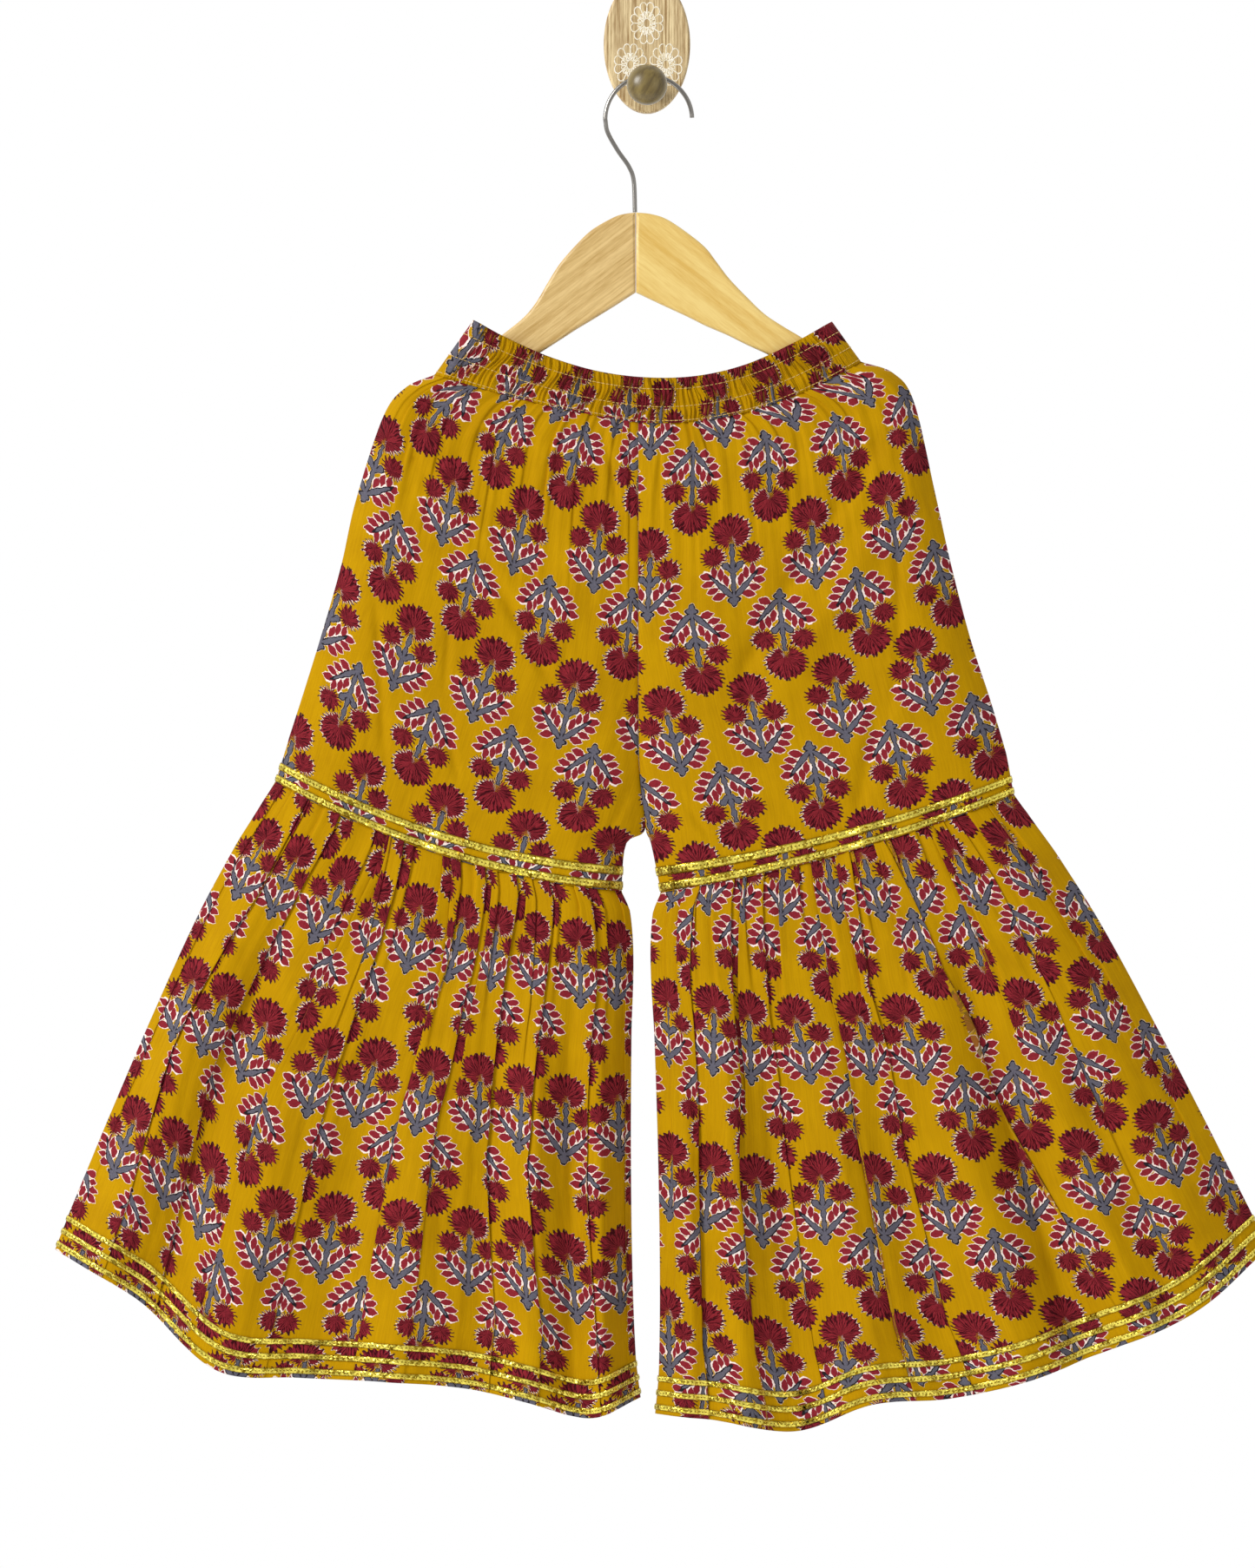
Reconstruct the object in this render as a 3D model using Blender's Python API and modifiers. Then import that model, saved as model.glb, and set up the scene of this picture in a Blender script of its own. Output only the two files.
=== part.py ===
"""A child's gharara trousers hung by the waist on a flat wooden hanger, on a turned wall hook.

Each leg is a straight upper leg and a flounce gathered to it at the knee. The casing at the waist
is gathered on elastic. The garment hangs nearly flat, its front and back joined at the side folds.

Lengths are in millimetres until a mesh is made. X runs to the right, Z up, and Y away from the
viewer into the wall. The origin is on the wall, in line with the knob's axis.
"""

import math
from collections import namedtuple

import bmesh
import bpy
import numpy as np
from mathutils import Matrix, Vector

MM = 0.001
GAP = 0.3  # between pieces that are sewn or set against each other

# The middle of the hanging garment, between the wall at 0 and the viewer
MIDDLE = -30.0
FRONT, BACK = -1, 1

# Cloth
CLOTH = 1.3  # thickness of one wall of cotton
CASING = 2.4  # thickness of the folded casing with its elastic
EDGE = CLOTH + GAP / 2  # half the thickness of the garment at a side fold
CASING_EDGE = CASING + GAP / 2

# Gold ribbon
RIBBON = 1.0  # thickness
RIBBON_LIFT = 0.4  # from the cloth that it is sewn to
KNEE_RIBBON_WIDTH = 3.6
HEM_RIBBON_WIDTH = 3.0
KNEE_ZONE = 13.0  # depth of the flat strip above the knee seam
HEM_ZONE = 26.0  # depth of the flat strip above the hem edge
HEM_ZONE_SHARE = HEM_ZONE / 325  # of a flounce's height
KNEE_RIBBONS = {"upper": 10.0, "lower": 2.6}  # each line's middle above the knee seam
HEM_RIBBONS = {"1": 22.4, "2": 13.4, "3": 4.4}  # each line's middle above the hem edge

# Columns of cloth round one piece, two to each gather
CASING_COLUMNS = 48
LEG_COLUMNS = 18
FLOUNCE_COLUMNS = 40
LEG_CROWDING, FLOUNCE_CROWDING = 0.55, 0.35  # how much closer the columns lie at both ends
CASING_ROWS = (0.0, 0.33, 0.67, 1.0)
FLOUNCE_ROWS = (0.0, 0.04, 0.13, 0.28, 0.5, 0.74)

# Upper leg. Each row is a line across the leg, from the side fold to the middle seam or inseam:
# both its ends, how far it sags, how far the cloth stands out, how wide its rounded side is, how
# much of that depth is left at the seam, and how high the gathers from the waist still are.
Section = namedtuple("Section", "side_x side_z seam_x seam_z sag depth rim joined gather")
LEFT_LEG = (
    Section(-132, -179, -5.4, -209, 3, 9.2, 8, 0.95, 1.1),
    Section(-150, -187, -5.4, -221, 4, 9.6, 9, 0.95, 1.3),
    Section(-164, -205, -5.4, -240, 5, 10.2, 13, 0.93, 1.1),
    Section(-181, -257, -5.4, -300, 7, 12.0, 24, 0.85, 0.6),
    Section(-190, -297, -5.4, -343, 8, 13.0, 30, 0.75, 0.3),
    Section(-201, -336, -5.4, -386, 9, 13.6, 34, 0.60, 0.0),
    Section(-213, -375, -4.6, -428, 10, 14.0, 36, 0.32, 0.0),
    Section(-222, -403, -1.0, -461, 11, 14.0, 38, 0.0, 0.0),
    Section(-224, -410, -13, -471, 12, 14.0, 38, 0.0, 0.0),
    Section(-231, -432, -16, -500, 13, 14.0, 38, 0.0, 0.0),
)
RIGHT_LEG = (
    Section(133, -171, -5.4, -209, 12, 9.2, 8, 0.95, 1.1),
    Section(153, -178, -5.4, -221, 12, 9.6, 9, 0.95, 1.3),
    Section(166, -196, -5.4, -240, 10, 10.2, 13, 0.93, 1.1),
    Section(179, -252, -5.4, -300, 8, 12.0, 24, 0.85, 0.6),
    Section(189, -297, -5.4, -343, 8, 13.0, 30, 0.75, 0.3),
    Section(201, -343, -5.4, -386, 8, 13.6, 34, 0.60, 0.0),
    Section(213, -380, -4.6, -428, 7, 14.0, 36, 0.32, 0.0),
    Section(222, -410, -1.0, -461, 7, 14.0, 38, 0.0, 0.0),
    Section(224, -418, 2.5, -471, 7, 14.0, 38, 0.0, 0.0),
    Section(228, -440, 8.6, -501, 7, 14.0, 38, 0.0, 0.0),
)

# Hem of each flounce, from the side fold to the inner fold
Hem = namedtuple("Hem", "x z")
LEFT_HEM = (
    Hem(-368, -723),
    Hem(-318, -752),
    Hem(-268, -796),
    Hem(-216, -802),
    Hem(-164, -804),
    Hem(-117, -808),
    Hem(-74, -817),
    Hem(-37, -827),
    Hem(-4, -815),
)
RIGHT_HEM = (
    Hem(386, -722),
    Hem(338, -762),
    Hem(288, -784),
    Hem(238, -803),
    Hem(188, -815),
    Hem(140, -818),
    Hem(94, -835),
    Hem(48, -829),
    Hem(5, -825),
)

# Broad drapes of an upper leg: a ridge from one point to another, in X and Z
Drape = namedtuple("Drape", "x z end_x end_z depth width")
LEG_DRAPES = {
    ("left", FRONT): (
        Drape(-143, -212, -82, -322, 2.4, 11),
        Drape(-190, -345, -120, -440, 1.8, 14),
        Drape(-30, -250, -62, -360, 1.6, 10),
    ),
    ("right", FRONT): (
        Drape(160, -236, 62, -334, 2.8, 10),
        Drape(30, -250, 52, -380, 1.6, 11),
        Drape(190, -350, 110, -430, 1.8, 15),
    ),
    ("left", BACK): (
        Drape(-120, -230, -70, -350, 2.4, 13),
        Drape(-40, -300, -90, -430, 1.8, 12),
    ),
    ("right", BACK): (
        Drape(130, -235, 60, -360, 2.4, 12),
        Drape(50, -330, 120, -430, 1.8, 13),
    ),
}

# Flutes of a flounce: place across it from side to inner fold, half width there, height, and how
# far down from the knee the flute begins. A share of 1 is the whole flounce.
Flute = namedtuple("Flute", "place width height begins")
FLUTES = {
    ("left", FRONT): (
        Flute(0.07, 0.035, 6.0, 0.10),
        Flute(0.155, 0.030, -7.5, 0.00),
        Flute(0.26, 0.050, 8.5, 0.30),
        Flute(0.40, 0.045, -5.5, 0.20),
        Flute(0.52, 0.045, 7.5, 0.25),
        Flute(0.66, 0.035, -5.0, 0.10),
        Flute(0.76, 0.035, 7.0, 0.05),
        Flute(0.85, 0.030, -6.5, 0.05),
        Flute(0.92, 0.030, 6.0, 0.20),
    ),
    ("right", FRONT): (
        Flute(0.09, 0.040, 5.5, 0.25),
        Flute(0.20, 0.040, 7.5, 0.20),
        Flute(0.29, 0.028, -9.0, 0.02),
        Flute(0.38, 0.045, 8.0, 0.10),
        Flute(0.50, 0.045, -5.0, 0.30),
        Flute(0.62, 0.045, 7.0, 0.15),
        Flute(0.74, 0.040, -5.0, 0.10),
        Flute(0.84, 0.035, 9.0, 0.05),
        Flute(0.905, 0.025, -7.0, 0.10),
    ),
    ("left", BACK): (
        Flute(0.12, 0.045, 6.0, 0.10),
        Flute(0.24, 0.040, -6.0, 0.15),
        Flute(0.35, 0.045, 6.5, 0.05),
        Flute(0.49, 0.040, -5.0, 0.20),
        Flute(0.61, 0.045, 6.5, 0.20),
        Flute(0.73, 0.035, -5.5, 0.10),
        Flute(0.85, 0.040, 6.0, 0.15),
    ),
    ("right", BACK): (
        Flute(0.10, 0.040, 6.0, 0.20),
        Flute(0.22, 0.035, -5.5, 0.10),
        Flute(0.36, 0.050, 6.5, 0.15),
        Flute(0.47, 0.035, -5.0, 0.05),
        Flute(0.60, 0.045, 6.0, 0.10),
        Flute(0.71, 0.040, -6.0, 0.20),
        Flute(0.84, 0.045, 6.5, 0.10),
    ),
}

# How a flounce stands out at each share of its height: the depth at its front and at its back,
# the width of its rounded sides, the height of the gathers, and how far its side and its inner
# fold lie outside a straight line.
Flare = namedtuple("Flare", "down front back rim gather side inner")
FLARES = (
    Flare(0.00, 14.0, 14.0, 38, 1.2, 0, 0),
    Flare(0.04, 15.6, 15.0, 38, 2.2, 2, 5),
    Flare(0.13, 16.4, 15.2, 36, 2.6, 6, 6),
    Flare(0.28, 17.2, 15.0, 36, 2.1, 9, 3),
    Flare(0.50, 18.2, 14.6, 38, 1.2, 8, 0),
    Flare(0.74, 18.8, 14.6, 40, 0.4, 5, -2),
    Flare(0.92, 19.0, 14.6, 42, 0.0, 2, -2),
    Flare(1.00, 19.0, 14.6, 42, 0.0, 0, 0),
)

# Upper edge of the waist casing, from the wearer's right side to the left, as seen
CASING_TOP = (
    Hem(-108, -145),
    Hem(-88, -156),
    Hem(-61, -168),
    Hem(-31, -177),
    Hem(0, -181),
    Hem(31, -180),
    Hem(61, -173),
    Hem(90, -160),
    Hem(115, -146),
)
CASING_DEPTH = 9.2
CASING_PUFF = 0.9
CASING_GATHER = 1.1
CASING_RIM = 8

# Hanger: two halves that meet at the middle joint
JOINT_X = -7.0
HANGER_THICKNESS = 10.0
HANGER_ROUNDING = 1.4
TIP_STEPS = 6
Arm = namedtuple("Arm", "reach top under")
LEFT_ARM = (
    Arm(0, -78.3, -128),
    Arm(7, -79.2, -132.5),
    Arm(14, -81.5, -137),
    Arm(27, -89, -145),
    Arm(37, -98.5, -151),
    Arm(47, -110, -157.5),
    Arm(54, -121, -162),
    Arm(62, -134.5, -167),
    Arm(70, -144, -172),
    Arm(83, -154.5, -180),
    Arm(104, -171, -193),
    Arm(123, -187, -205),
    Arm(138, -198, -213),
)
RIGHT_ARM = (
    Arm(0, -78.3, -128),
    Arm(9, -79.2, -132.3),
    Arm(19, -82.4, -137),
    Arm(32, -91, -143),
    Arm(43, -100, -148.5),
    Arm(50, -109, -151.5),
    Arm(58, -119.5, -155),
    Arm(69, -131, -160.5),
    Arm(80, -141.5, -165.5),
    Arm(92, -149.5, -171.5),
    Arm(105, -157.5, -179),
    Arm(122, -171.5, -190.5),
    Arm(138, -187, -202),
)

# Hanger's hook: an arc over the knob's neck, then a swan neck down to the wood
WIRE = 1.4  # radius
HOOK_RADIUS = 27.0
HOOK_X, HOOK_Z = 1.0, -20.2
HOOK_OPEN = 2  # degrees above level where the arc's free end stops
HOOK_STEP = 13  # degrees
Bend = namedtuple("Bend", "x z")
SWAN_NECK = (
    Bend(-26.0, -20.2),
    Bend(-24.4, -28.5),
    Bend(-18.2, -39.6),
    Bend(-11.2, -49.8),
    Bend(-8.2, -59.0),
    Bend(-7.5, -78.0),
)
SWAN_STEPS = 3

# Wall hook
PLAQUE_WIDTH, PLAQUE_HEIGHT, PLAQUE_THICKNESS = 54.0, 86.0, 12.0
PLAQUE_Z = 28.0
PLAQUE_ROUNDING = 2.0
PLAQUE_SIDES = 44
Turned = namedtuple("Turned", "out radius")
KNOB = (
    Turned(58.0, 0.0),
    Turned(57.4, 4.5),
    Turned(55.6, 8.6),
    Turned(52.4, 11.6),
    Turned(48.0, 12.6),
    Turned(43.4, 11.6),
    Turned(39.8, 8.8),
    Turned(37.4, 5.6),
    Turned(35.4, 5.0),
    Turned(20.0, 5.0),
    Turned(15.0, 6.4),
    Turned(PLAQUE_THICKNESS + GAP, 7.4),
    Turned(PLAQUE_THICKNESS + GAP, 0.0),
)
KNOB_STEPS = 28

Look = namedtuple("Look", "colour roughness metallic")
COTTON = Look((0.62, 0.34, 0.0), 0.85, 0.0)
GOTA = Look((0.75, 0.56, 0.03), 0.35, 0.9)
PALE_WOOD = Look((0.72, 0.50, 0.14), 0.5, 0.0)
PLAQUE_WOOD = Look((0.55, 0.35, 0.13), 0.6, 0.0)
DARK_WOOD = Look((0.20, 0.12, 0.03), 0.4, 0.0)
STEEL = Look((0.45, 0.43, 0.40), 0.3, 1.0)

Leg = namedtuple("Leg", "name hand sections hem")
LEGS = (
    Leg("left", -1, LEFT_LEG, LEFT_HEM),
    Leg("right", 1, RIGHT_LEG, RIGHT_HEM),
)
FACES = {"front": FRONT, "back": BACK}


def through(values, place):
    """A table's column read at places between its rows, on a smooth curve through them."""
    values = np.asarray(values, float)
    before = 2 * values[0] - values[1]
    after = 2 * values[-1] - values[-2]
    padded = np.concatenate([[before], values, [after]])
    low = np.clip(np.floor(place).astype(int), 0, len(values) - 2)
    t = place - low
    a, b, c, d = (padded[low + k] for k in range(4))
    return b + 0.5 * t * (c - a + t * (2 * a - 5 * b + 4 * c - d + t * (3 * (b - c) + d - a)))


def row_between(rows, place):
    """All columns of a table at one place between its rows."""
    place = np.array(float(place))
    return type(rows[0])(*(float(through(column, place)) for column in zip(*rows)))


def rise(distance, rim):
    """How far a rounded side has come up, from 0 at its fold to 1 past its rim."""
    q = np.clip(distance / rim, 0, 1)
    return 1 - (1 - q) ** 2.2


def step_up(value, low, high):
    """A soft step from 0 to 1."""
    t = np.clip((value - low) / (high - low), 0, 1)
    return t * t * (3 - 2 * t)


def crowded(cloth, crowding):
    """Columns of cloth drawn closer together at both ends of a piece."""
    return cloth - crowding * np.sin(2 * math.pi * cloth) / (2 * math.pi)


def gathers(cloth, columns):
    """Uneven gathers, one to every two columns, of height about 1."""
    fine = np.cos(math.pi * columns * cloth)
    loose = np.cos(0.62 * math.pi * columns * cloth + 1)
    return 0.65 * fine + 0.7 * loose


def ridge(x, z, drape):
    """Height of one drape at points of a leg."""
    along_x, along_z = drape.end_x - drape.x, drape.end_z - drape.z
    length = math.hypot(along_x, along_z)
    share = ((x - drape.x) * along_x + (z - drape.z) * along_z) / length**2
    off = ((x - drape.x) * along_z - (z - drape.z) * along_x) / length
    ends = step_up(share, -0.15, 0.3) * (1 - step_up(share, 0.7, 1.15))
    return drape.depth * ends * np.exp(-((off / drape.width) ** 2))


def leg_line(leg, face, cloth, row):
    """Points across an upper leg's outer face at one row of its table."""
    s = row_between(leg.sections, row)
    share = crowded(cloth, LEG_CROWDING)
    x = s.side_x + (s.seam_x + leg.hand * GAP / 2 - s.side_x) * share
    z = s.side_z + (s.seam_z - s.side_z) * share - s.sag * 4 * share * (1 - share)
    width = abs(s.seam_x - s.side_x)
    at_side = rise(share * width, s.rim)
    at_seam = s.joined + (1 - s.joined) * rise((1 - share) * width, s.rim)
    depth = EDGE + (s.depth - EDGE) * at_side * at_seam
    inside = step_up(share * width, 2, 12) * step_up((1 - share) * width, 2, 12)
    depth += inside * s.gather * gathers(cloth, LEG_COLUMNS)
    for drape in LEG_DRAPES[leg.name, face]:
        depth += inside * ridge(x, z, drape)
    return np.stack([x, MIDDLE + face * depth, z], axis=-1)


def share_to_leg(share):
    """The leg's column of cloth that lies at a share of the way across it."""
    cloth = np.linspace(0, 1, 201)
    return np.interp(share, crowded(cloth, LEG_CROWDING), cloth)


def knee_strip(leg, face, cloth, above):
    """Points on the flat strip over the knee seam, at a height above the seam."""
    seam = leg_line(leg, face, cloth, len(leg.sections) - 1)
    up = leg_line(leg, face, cloth, len(leg.sections) - 2)
    along = up - seam
    along[:, 1] = 0
    along /= np.linalg.norm(along, axis=1)[:, None]
    return seam + along * above


def leg_rows(leg, face):
    """The rows of points of one upper leg piece, from the waist to the knee seam."""
    cloth = np.linspace(0, 1, LEG_COLUMNS + 1)
    last = len(leg.sections) - 1
    rows = [leg_line(leg, face, cloth, row) for row in range(last)]
    rows.append(knee_strip(leg, face, cloth, KNEE_ZONE))
    rows.append(knee_strip(leg, face, cloth, 0))
    return np.array(rows)


def flounce_line(leg, face, cloth, down):
    """Points across a flounce's outer face, at a share of its height below the knee."""
    knots = [flare.down for flare in FLARES]
    flare = row_between(FLARES, np.interp(down, knots, range(len(knots))))
    share = crowded(cloth, FLOUNCE_CROWDING)
    top = leg_line(leg, face, share_to_leg(share), len(leg.sections) - 1)
    place = share * (len(leg.hem) - 1)
    hem_x = through([row.x for row in leg.hem], place)
    hem_z = through([row.z for row in leg.hem], place)
    x = top[:, 0] + (hem_x - top[:, 0]) * down
    z = top[:, 2] - GAP + (hem_z - top[:, 2] + GAP) * down
    x += leg.hand * flare.side * (1 - share) ** 3
    x -= leg.hand * flare.inner * share**6
    width = abs(hem_x[0] - hem_x[-1]) * down + abs(top[0, 0] - top[-1, 0]) * (1 - down)
    full = flare.front if face == FRONT else flare.back
    depth = EDGE + (full - EDGE) * rise(share * width, flare.rim) * rise((1 - share) * width, flare.rim)
    inside = step_up(share * width, 2, 16) * step_up((1 - share) * width, 2, 16)
    depth += inside * flare.gather * gathers(cloth, FLOUNCE_COLUMNS)
    for flute in FLUTES[leg.name, face]:
        grown = step_up(min(down, 1 - HEM_ZONE_SHARE), flute.begins, flute.begins + 0.45)
        wave = flute.height * np.exp(-(((share - flute.place) / flute.width) ** 2))
        depth += inside * grown * wave
    return np.stack([x, MIDDLE + face * depth, z], axis=-1)


def flounce_rows(leg, face):
    """The rows of points of one flounce piece, from the knee seam to the hem."""
    cloth = np.linspace(0, 1, FLOUNCE_COLUMNS + 1)
    rows = [flounce_line(leg, face, cloth, down) for down in FLOUNCE_ROWS]
    rows.append(flounce_line(leg, face, cloth, 1 - HEM_ZONE_SHARE))
    rows.append(flounce_line(leg, face, cloth, 1))
    return np.array(rows)


def casing_rows(face):
    """The rows of points of the waist casing's front or back, from its top to the gather line."""
    cloth = np.linspace(0, 1, CASING_COLUMNS + 1)
    left, right = LEGS
    half = cloth <= 0.5
    side_left = share_to_leg(2 * cloth[half])
    side_right = share_to_leg(2 - 2 * cloth[~half])
    bottom = np.concatenate([
        leg_line(left, face, side_left, 0),
        leg_line(right, face, side_right, 0),
    ])
    bottom[:, 2] += GAP
    place = cloth * (len(CASING_TOP) - 1)
    top_x = through([row.x for row in CASING_TOP], place)
    top_z = through([row.z for row in CASING_TOP], place)
    rows = []
    for down in CASING_ROWS:
        x = top_x + (bottom[:, 0] - top_x) * down
        z = top_z + (bottom[:, 2] - top_z) * down
        width = x[-1] - x[0]
        sides = rise(cloth * width, CASING_RIM) * rise((1 - cloth) * width, CASING_RIM)
        depth = CASING_EDGE + (CASING_DEPTH - CASING_EDGE) * sides
        inside = step_up(cloth * width, 2, 12) * step_up((1 - cloth) * width, 2, 12)
        depth += inside * CASING_GATHER * gathers(cloth, CASING_COLUMNS)
        depth += inside * CASING_PUFF * math.sin(math.pi * down)
        rows.append(np.stack([x, MIDDLE + face * depth, z], axis=-1))
    return np.array(rows)


def outward(points, facing):
    """Unit directions out of a surface at each of its rows of points."""
    across = np.gradient(points, axis=1)
    along = np.gradient(points, axis=0)
    normal = np.cross(across, along)
    normal /= np.linalg.norm(normal, axis=2)[..., None]
    return normal * np.sign(normal[..., 1:2] * facing)


def ribbon_rows(strip, facing, above, zone, width):
    """Two rows of points for a ribbon on a flat strip of cloth, moved out from its face."""
    lifted = strip + outward(strip, facing) * RIBBON_LIFT
    upper, edge = lifted
    shares = ((above + width / 2) / zone, (above - width / 2) / zone)
    return np.array([edge + (upper - edge) * share for share in shares])


def look_material(name, look):
    material = bpy.data.materials.new(name)
    material.use_nodes = True
    shader = material.node_tree.nodes["Principled BSDF"]
    shader.inputs["Base Color"].default_value = (*look.colour, 1)
    shader.inputs["Roughness"].default_value = look.roughness
    shader.inputs["Metallic"].default_value = look.metallic
    material.diffuse_color = (*look.colour, 1)
    return material


def place_object(name, data, look):
    """An object in the garment's collection, with a material of its own."""
    piece = bpy.data.objects.new(name, data)
    bpy.data.collections[COLLECTION].objects.link(piece)
    data.materials.append(look_material(name, look))
    return piece


def cloth_wall(name, points, facing, thickness, outwards, look):
    """A closed wall on rows of points: a grid moved to them, thickened to one side."""
    rows, columns = points.shape[:2]
    sheet = bmesh.new()
    bmesh.ops.create_grid(sheet, x_segments=columns - 1, y_segments=rows - 1, size=1)
    for vertex, place in zip(sheet.verts, points.reshape(-1, 3)):
        vertex.co = Vector(place) * MM
    sheet.normal_update()
    if sum(face.normal.y for face in sheet.faces) * facing < 0:
        bmesh.ops.reverse_faces(sheet, faces=sheet.faces)
    mesh = bpy.data.meshes.new(name)
    sheet.to_mesh(mesh)
    sheet.free()
    mesh.shade_smooth()
    piece = place_object(name, mesh, look)
    wall = piece.modifiers.new("Thickness", "SOLIDIFY")
    wall.thickness = thickness * MM
    wall.offset = 1 if outwards else -1
    return piece


def make_casing():
    for side, facing in FACES.items():
        cloth_wall(f"waistband_{side}", casing_rows(facing), facing, CASING, False, COTTON)


def make_leg(leg):
    for side, facing in FACES.items():
        points = leg_rows(leg, facing)
        cloth_wall(f"leg_{side}_{leg.name}", points, facing, CLOTH, False, COTTON)
        for line, above in KNEE_RIBBONS.items():
            ribbon = ribbon_rows(points[-2:], facing, above, KNEE_ZONE, KNEE_RIBBON_WIDTH)
            name = f"knee_gota_{line}_{side}_{leg.name}"
            cloth_wall(name, ribbon, facing, RIBBON, True, GOTA)


def make_flounce(leg):
    for side, facing in FACES.items():
        points = flounce_rows(leg, facing)
        cloth_wall(f"flounce_{side}_{leg.name}", points, facing, CLOTH, False, COTTON)
        for line, above in HEM_RIBBONS.items():
            ribbon = ribbon_rows(points[-2:], facing, above, HEM_ZONE, HEM_RIBBON_WIDTH)
            name = f"hem_gota_{line}_{side}_{leg.name}"
            cloth_wall(name, ribbon, facing, RIBBON, True, GOTA)


def arm_outline(arm, hand):
    """The outline of half the hanger, from the joint's top round the tip to its underside."""
    upper = [(row.reach, row.top) for row in arm]
    lower = [(row.reach, row.under) for row in arm]
    end = arm[-1]
    radius = (end.top - end.under) / 2
    middle = (end.top + end.under) / 2
    tip = []
    for k in range(1, TIP_STEPS):
        turn = math.pi * (0.5 - k / TIP_STEPS)
        tip.append((end.reach + radius * math.cos(turn), middle + radius * math.sin(turn)))
    outline = upper + tip + lower[::-1]
    return [(JOINT_X + hand * (GAP / 2 + x), z) for x, z in outline]


def make_hanger_arm(name, arm, hand):
    curve = bpy.data.curves.new(name, "CURVE")
    curve.dimensions = "2D"
    curve.fill_mode = "BOTH"
    curve.extrude = (HANGER_THICKNESS / 2 - HANGER_ROUNDING) * MM
    curve.bevel_depth = HANGER_ROUNDING * MM
    curve.bevel_resolution = 1
    curve.offset = -HANGER_ROUNDING * MM
    outline = arm_outline(arm, hand)
    spline = curve.splines.new("POLY")
    spline.points.add(len(outline) - 1)
    for point, (x, z) in zip(spline.points, outline):
        point.co = (x * MM, z * MM, 0, 1)
    spline.use_cyclic_u = True
    piece = place_object(name, curve, PALE_WOOD)
    piece.location.y = MIDDLE * MM
    piece.rotation_euler.x = math.pi / 2


def hook_route():
    """Points of the wire, from its free end over the knob's neck and down to the hanger."""
    route = []
    for degrees in range(HOOK_OPEN, 180, HOOK_STEP):
        turn = math.radians(degrees)
        x = HOOK_X + HOOK_RADIUS * math.cos(turn)
        route.append((x, HOOK_Z + HOOK_RADIUS * math.sin(turn)))
    places = np.linspace(0, len(SWAN_NECK) - 1, SWAN_STEPS * (len(SWAN_NECK) - 1) + 1)
    xs = through([bend.x for bend in SWAN_NECK], places)
    zs = through([bend.z for bend in SWAN_NECK], places)
    return route + list(zip(xs, zs))


def make_hook():
    curve = bpy.data.curves.new("hanger_hook", "CURVE")
    curve.dimensions = "3D"
    curve.bevel_depth = WIRE * MM
    curve.bevel_resolution = 2
    curve.use_fill_caps = True
    route = hook_route()
    spline = curve.splines.new("POLY")
    spline.points.add(len(route) - 1)
    for point, (x, z) in zip(spline.points, route):
        point.co = (x * MM, MIDDLE * MM, z * MM, 1)
    spline.use_smooth = True
    place_object("hanger_hook", curve, STEEL)


def make_plaque():
    """An oval board, its flat back on the wall."""
    board = bmesh.new()
    thickness = PLAQUE_THICKNESS * MM
    shape = {"segments": PLAQUE_SIDES, "radius1": 1, "radius2": 1, "depth": thickness}
    bmesh.ops.create_cone(board, cap_ends=True, **shape)
    size = Vector((PLAQUE_WIDTH / 2 * MM, PLAQUE_HEIGHT / 2 * MM, 1))
    bmesh.ops.scale(board, vec=size, verts=board.verts)
    bmesh.ops.rotate(board, matrix=Matrix.Rotation(math.pi / 2, 3, "X"), verts=board.verts)
    mesh = bpy.data.meshes.new("wall_plaque")
    board.to_mesh(mesh)
    board.free()
    piece = place_object("wall_plaque", mesh, PLAQUE_WOOD)
    piece.location = (0, -thickness / 2, PLAQUE_Z * MM)
    rounding = piece.modifiers.new("Rounded edge", "BEVEL")
    rounding.width = PLAQUE_ROUNDING * MM
    rounding.segments = 2
    rounding.limit_method = "ANGLE"
    rounding.angle_limit = math.radians(50)


def make_knob():
    """A knob turned round the Y axis: a foot on the plaque, a neck for the hook, and a head."""
    profile = bpy.data.meshes.new("wall_knob")
    corners = [(row.radius * MM, 0, row.out * MM) for row in KNOB]
    profile.from_pydata(corners, [(k, k + 1) for k in range(len(corners) - 1)], [])
    piece = place_object("wall_knob", profile, DARK_WOOD)
    piece.rotation_euler.x = math.pi / 2
    turning = piece.modifiers.new("Turning", "SCREW")
    turning.steps = KNOB_STEPS
    turning.render_steps = KNOB_STEPS
    turning.use_merge_vertices = True
    turning.merge_threshold = 0.00001
    turning.use_smooth_shade = True


COLLECTION = "gharara_on_hanger"


def main():
    for item in list(bpy.data.objects):
        bpy.data.objects.remove(item)
    bpy.context.scene.collection.children.link(bpy.data.collections.new(COLLECTION))
    make_casing()
    for leg in LEGS:
        make_leg(leg)
        make_flounce(leg)
    make_hanger_arm("hanger_arm_left", LEFT_ARM, -1)
    make_hanger_arm("hanger_arm_right", RIGHT_ARM, 1)
    make_hook()
    make_plaque()
    make_knob()


main()
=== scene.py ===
"""The looks of a child's gharara trousers, hung from a wooden hanger on a turned wall hook.

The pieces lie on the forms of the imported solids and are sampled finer: thin cotton whose spare width
is laid in leaning folds, metallic ribbon sewn along it, and the wood and wire that carry it.

Lengths are in millimetres until a mesh is made. X runs to the right, Z up, and Y away from the
viewer into the wall. A share runs from 0 to 1 across a piece, from the outer side of its leg.
"""

import math
from collections import namedtuple

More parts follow.
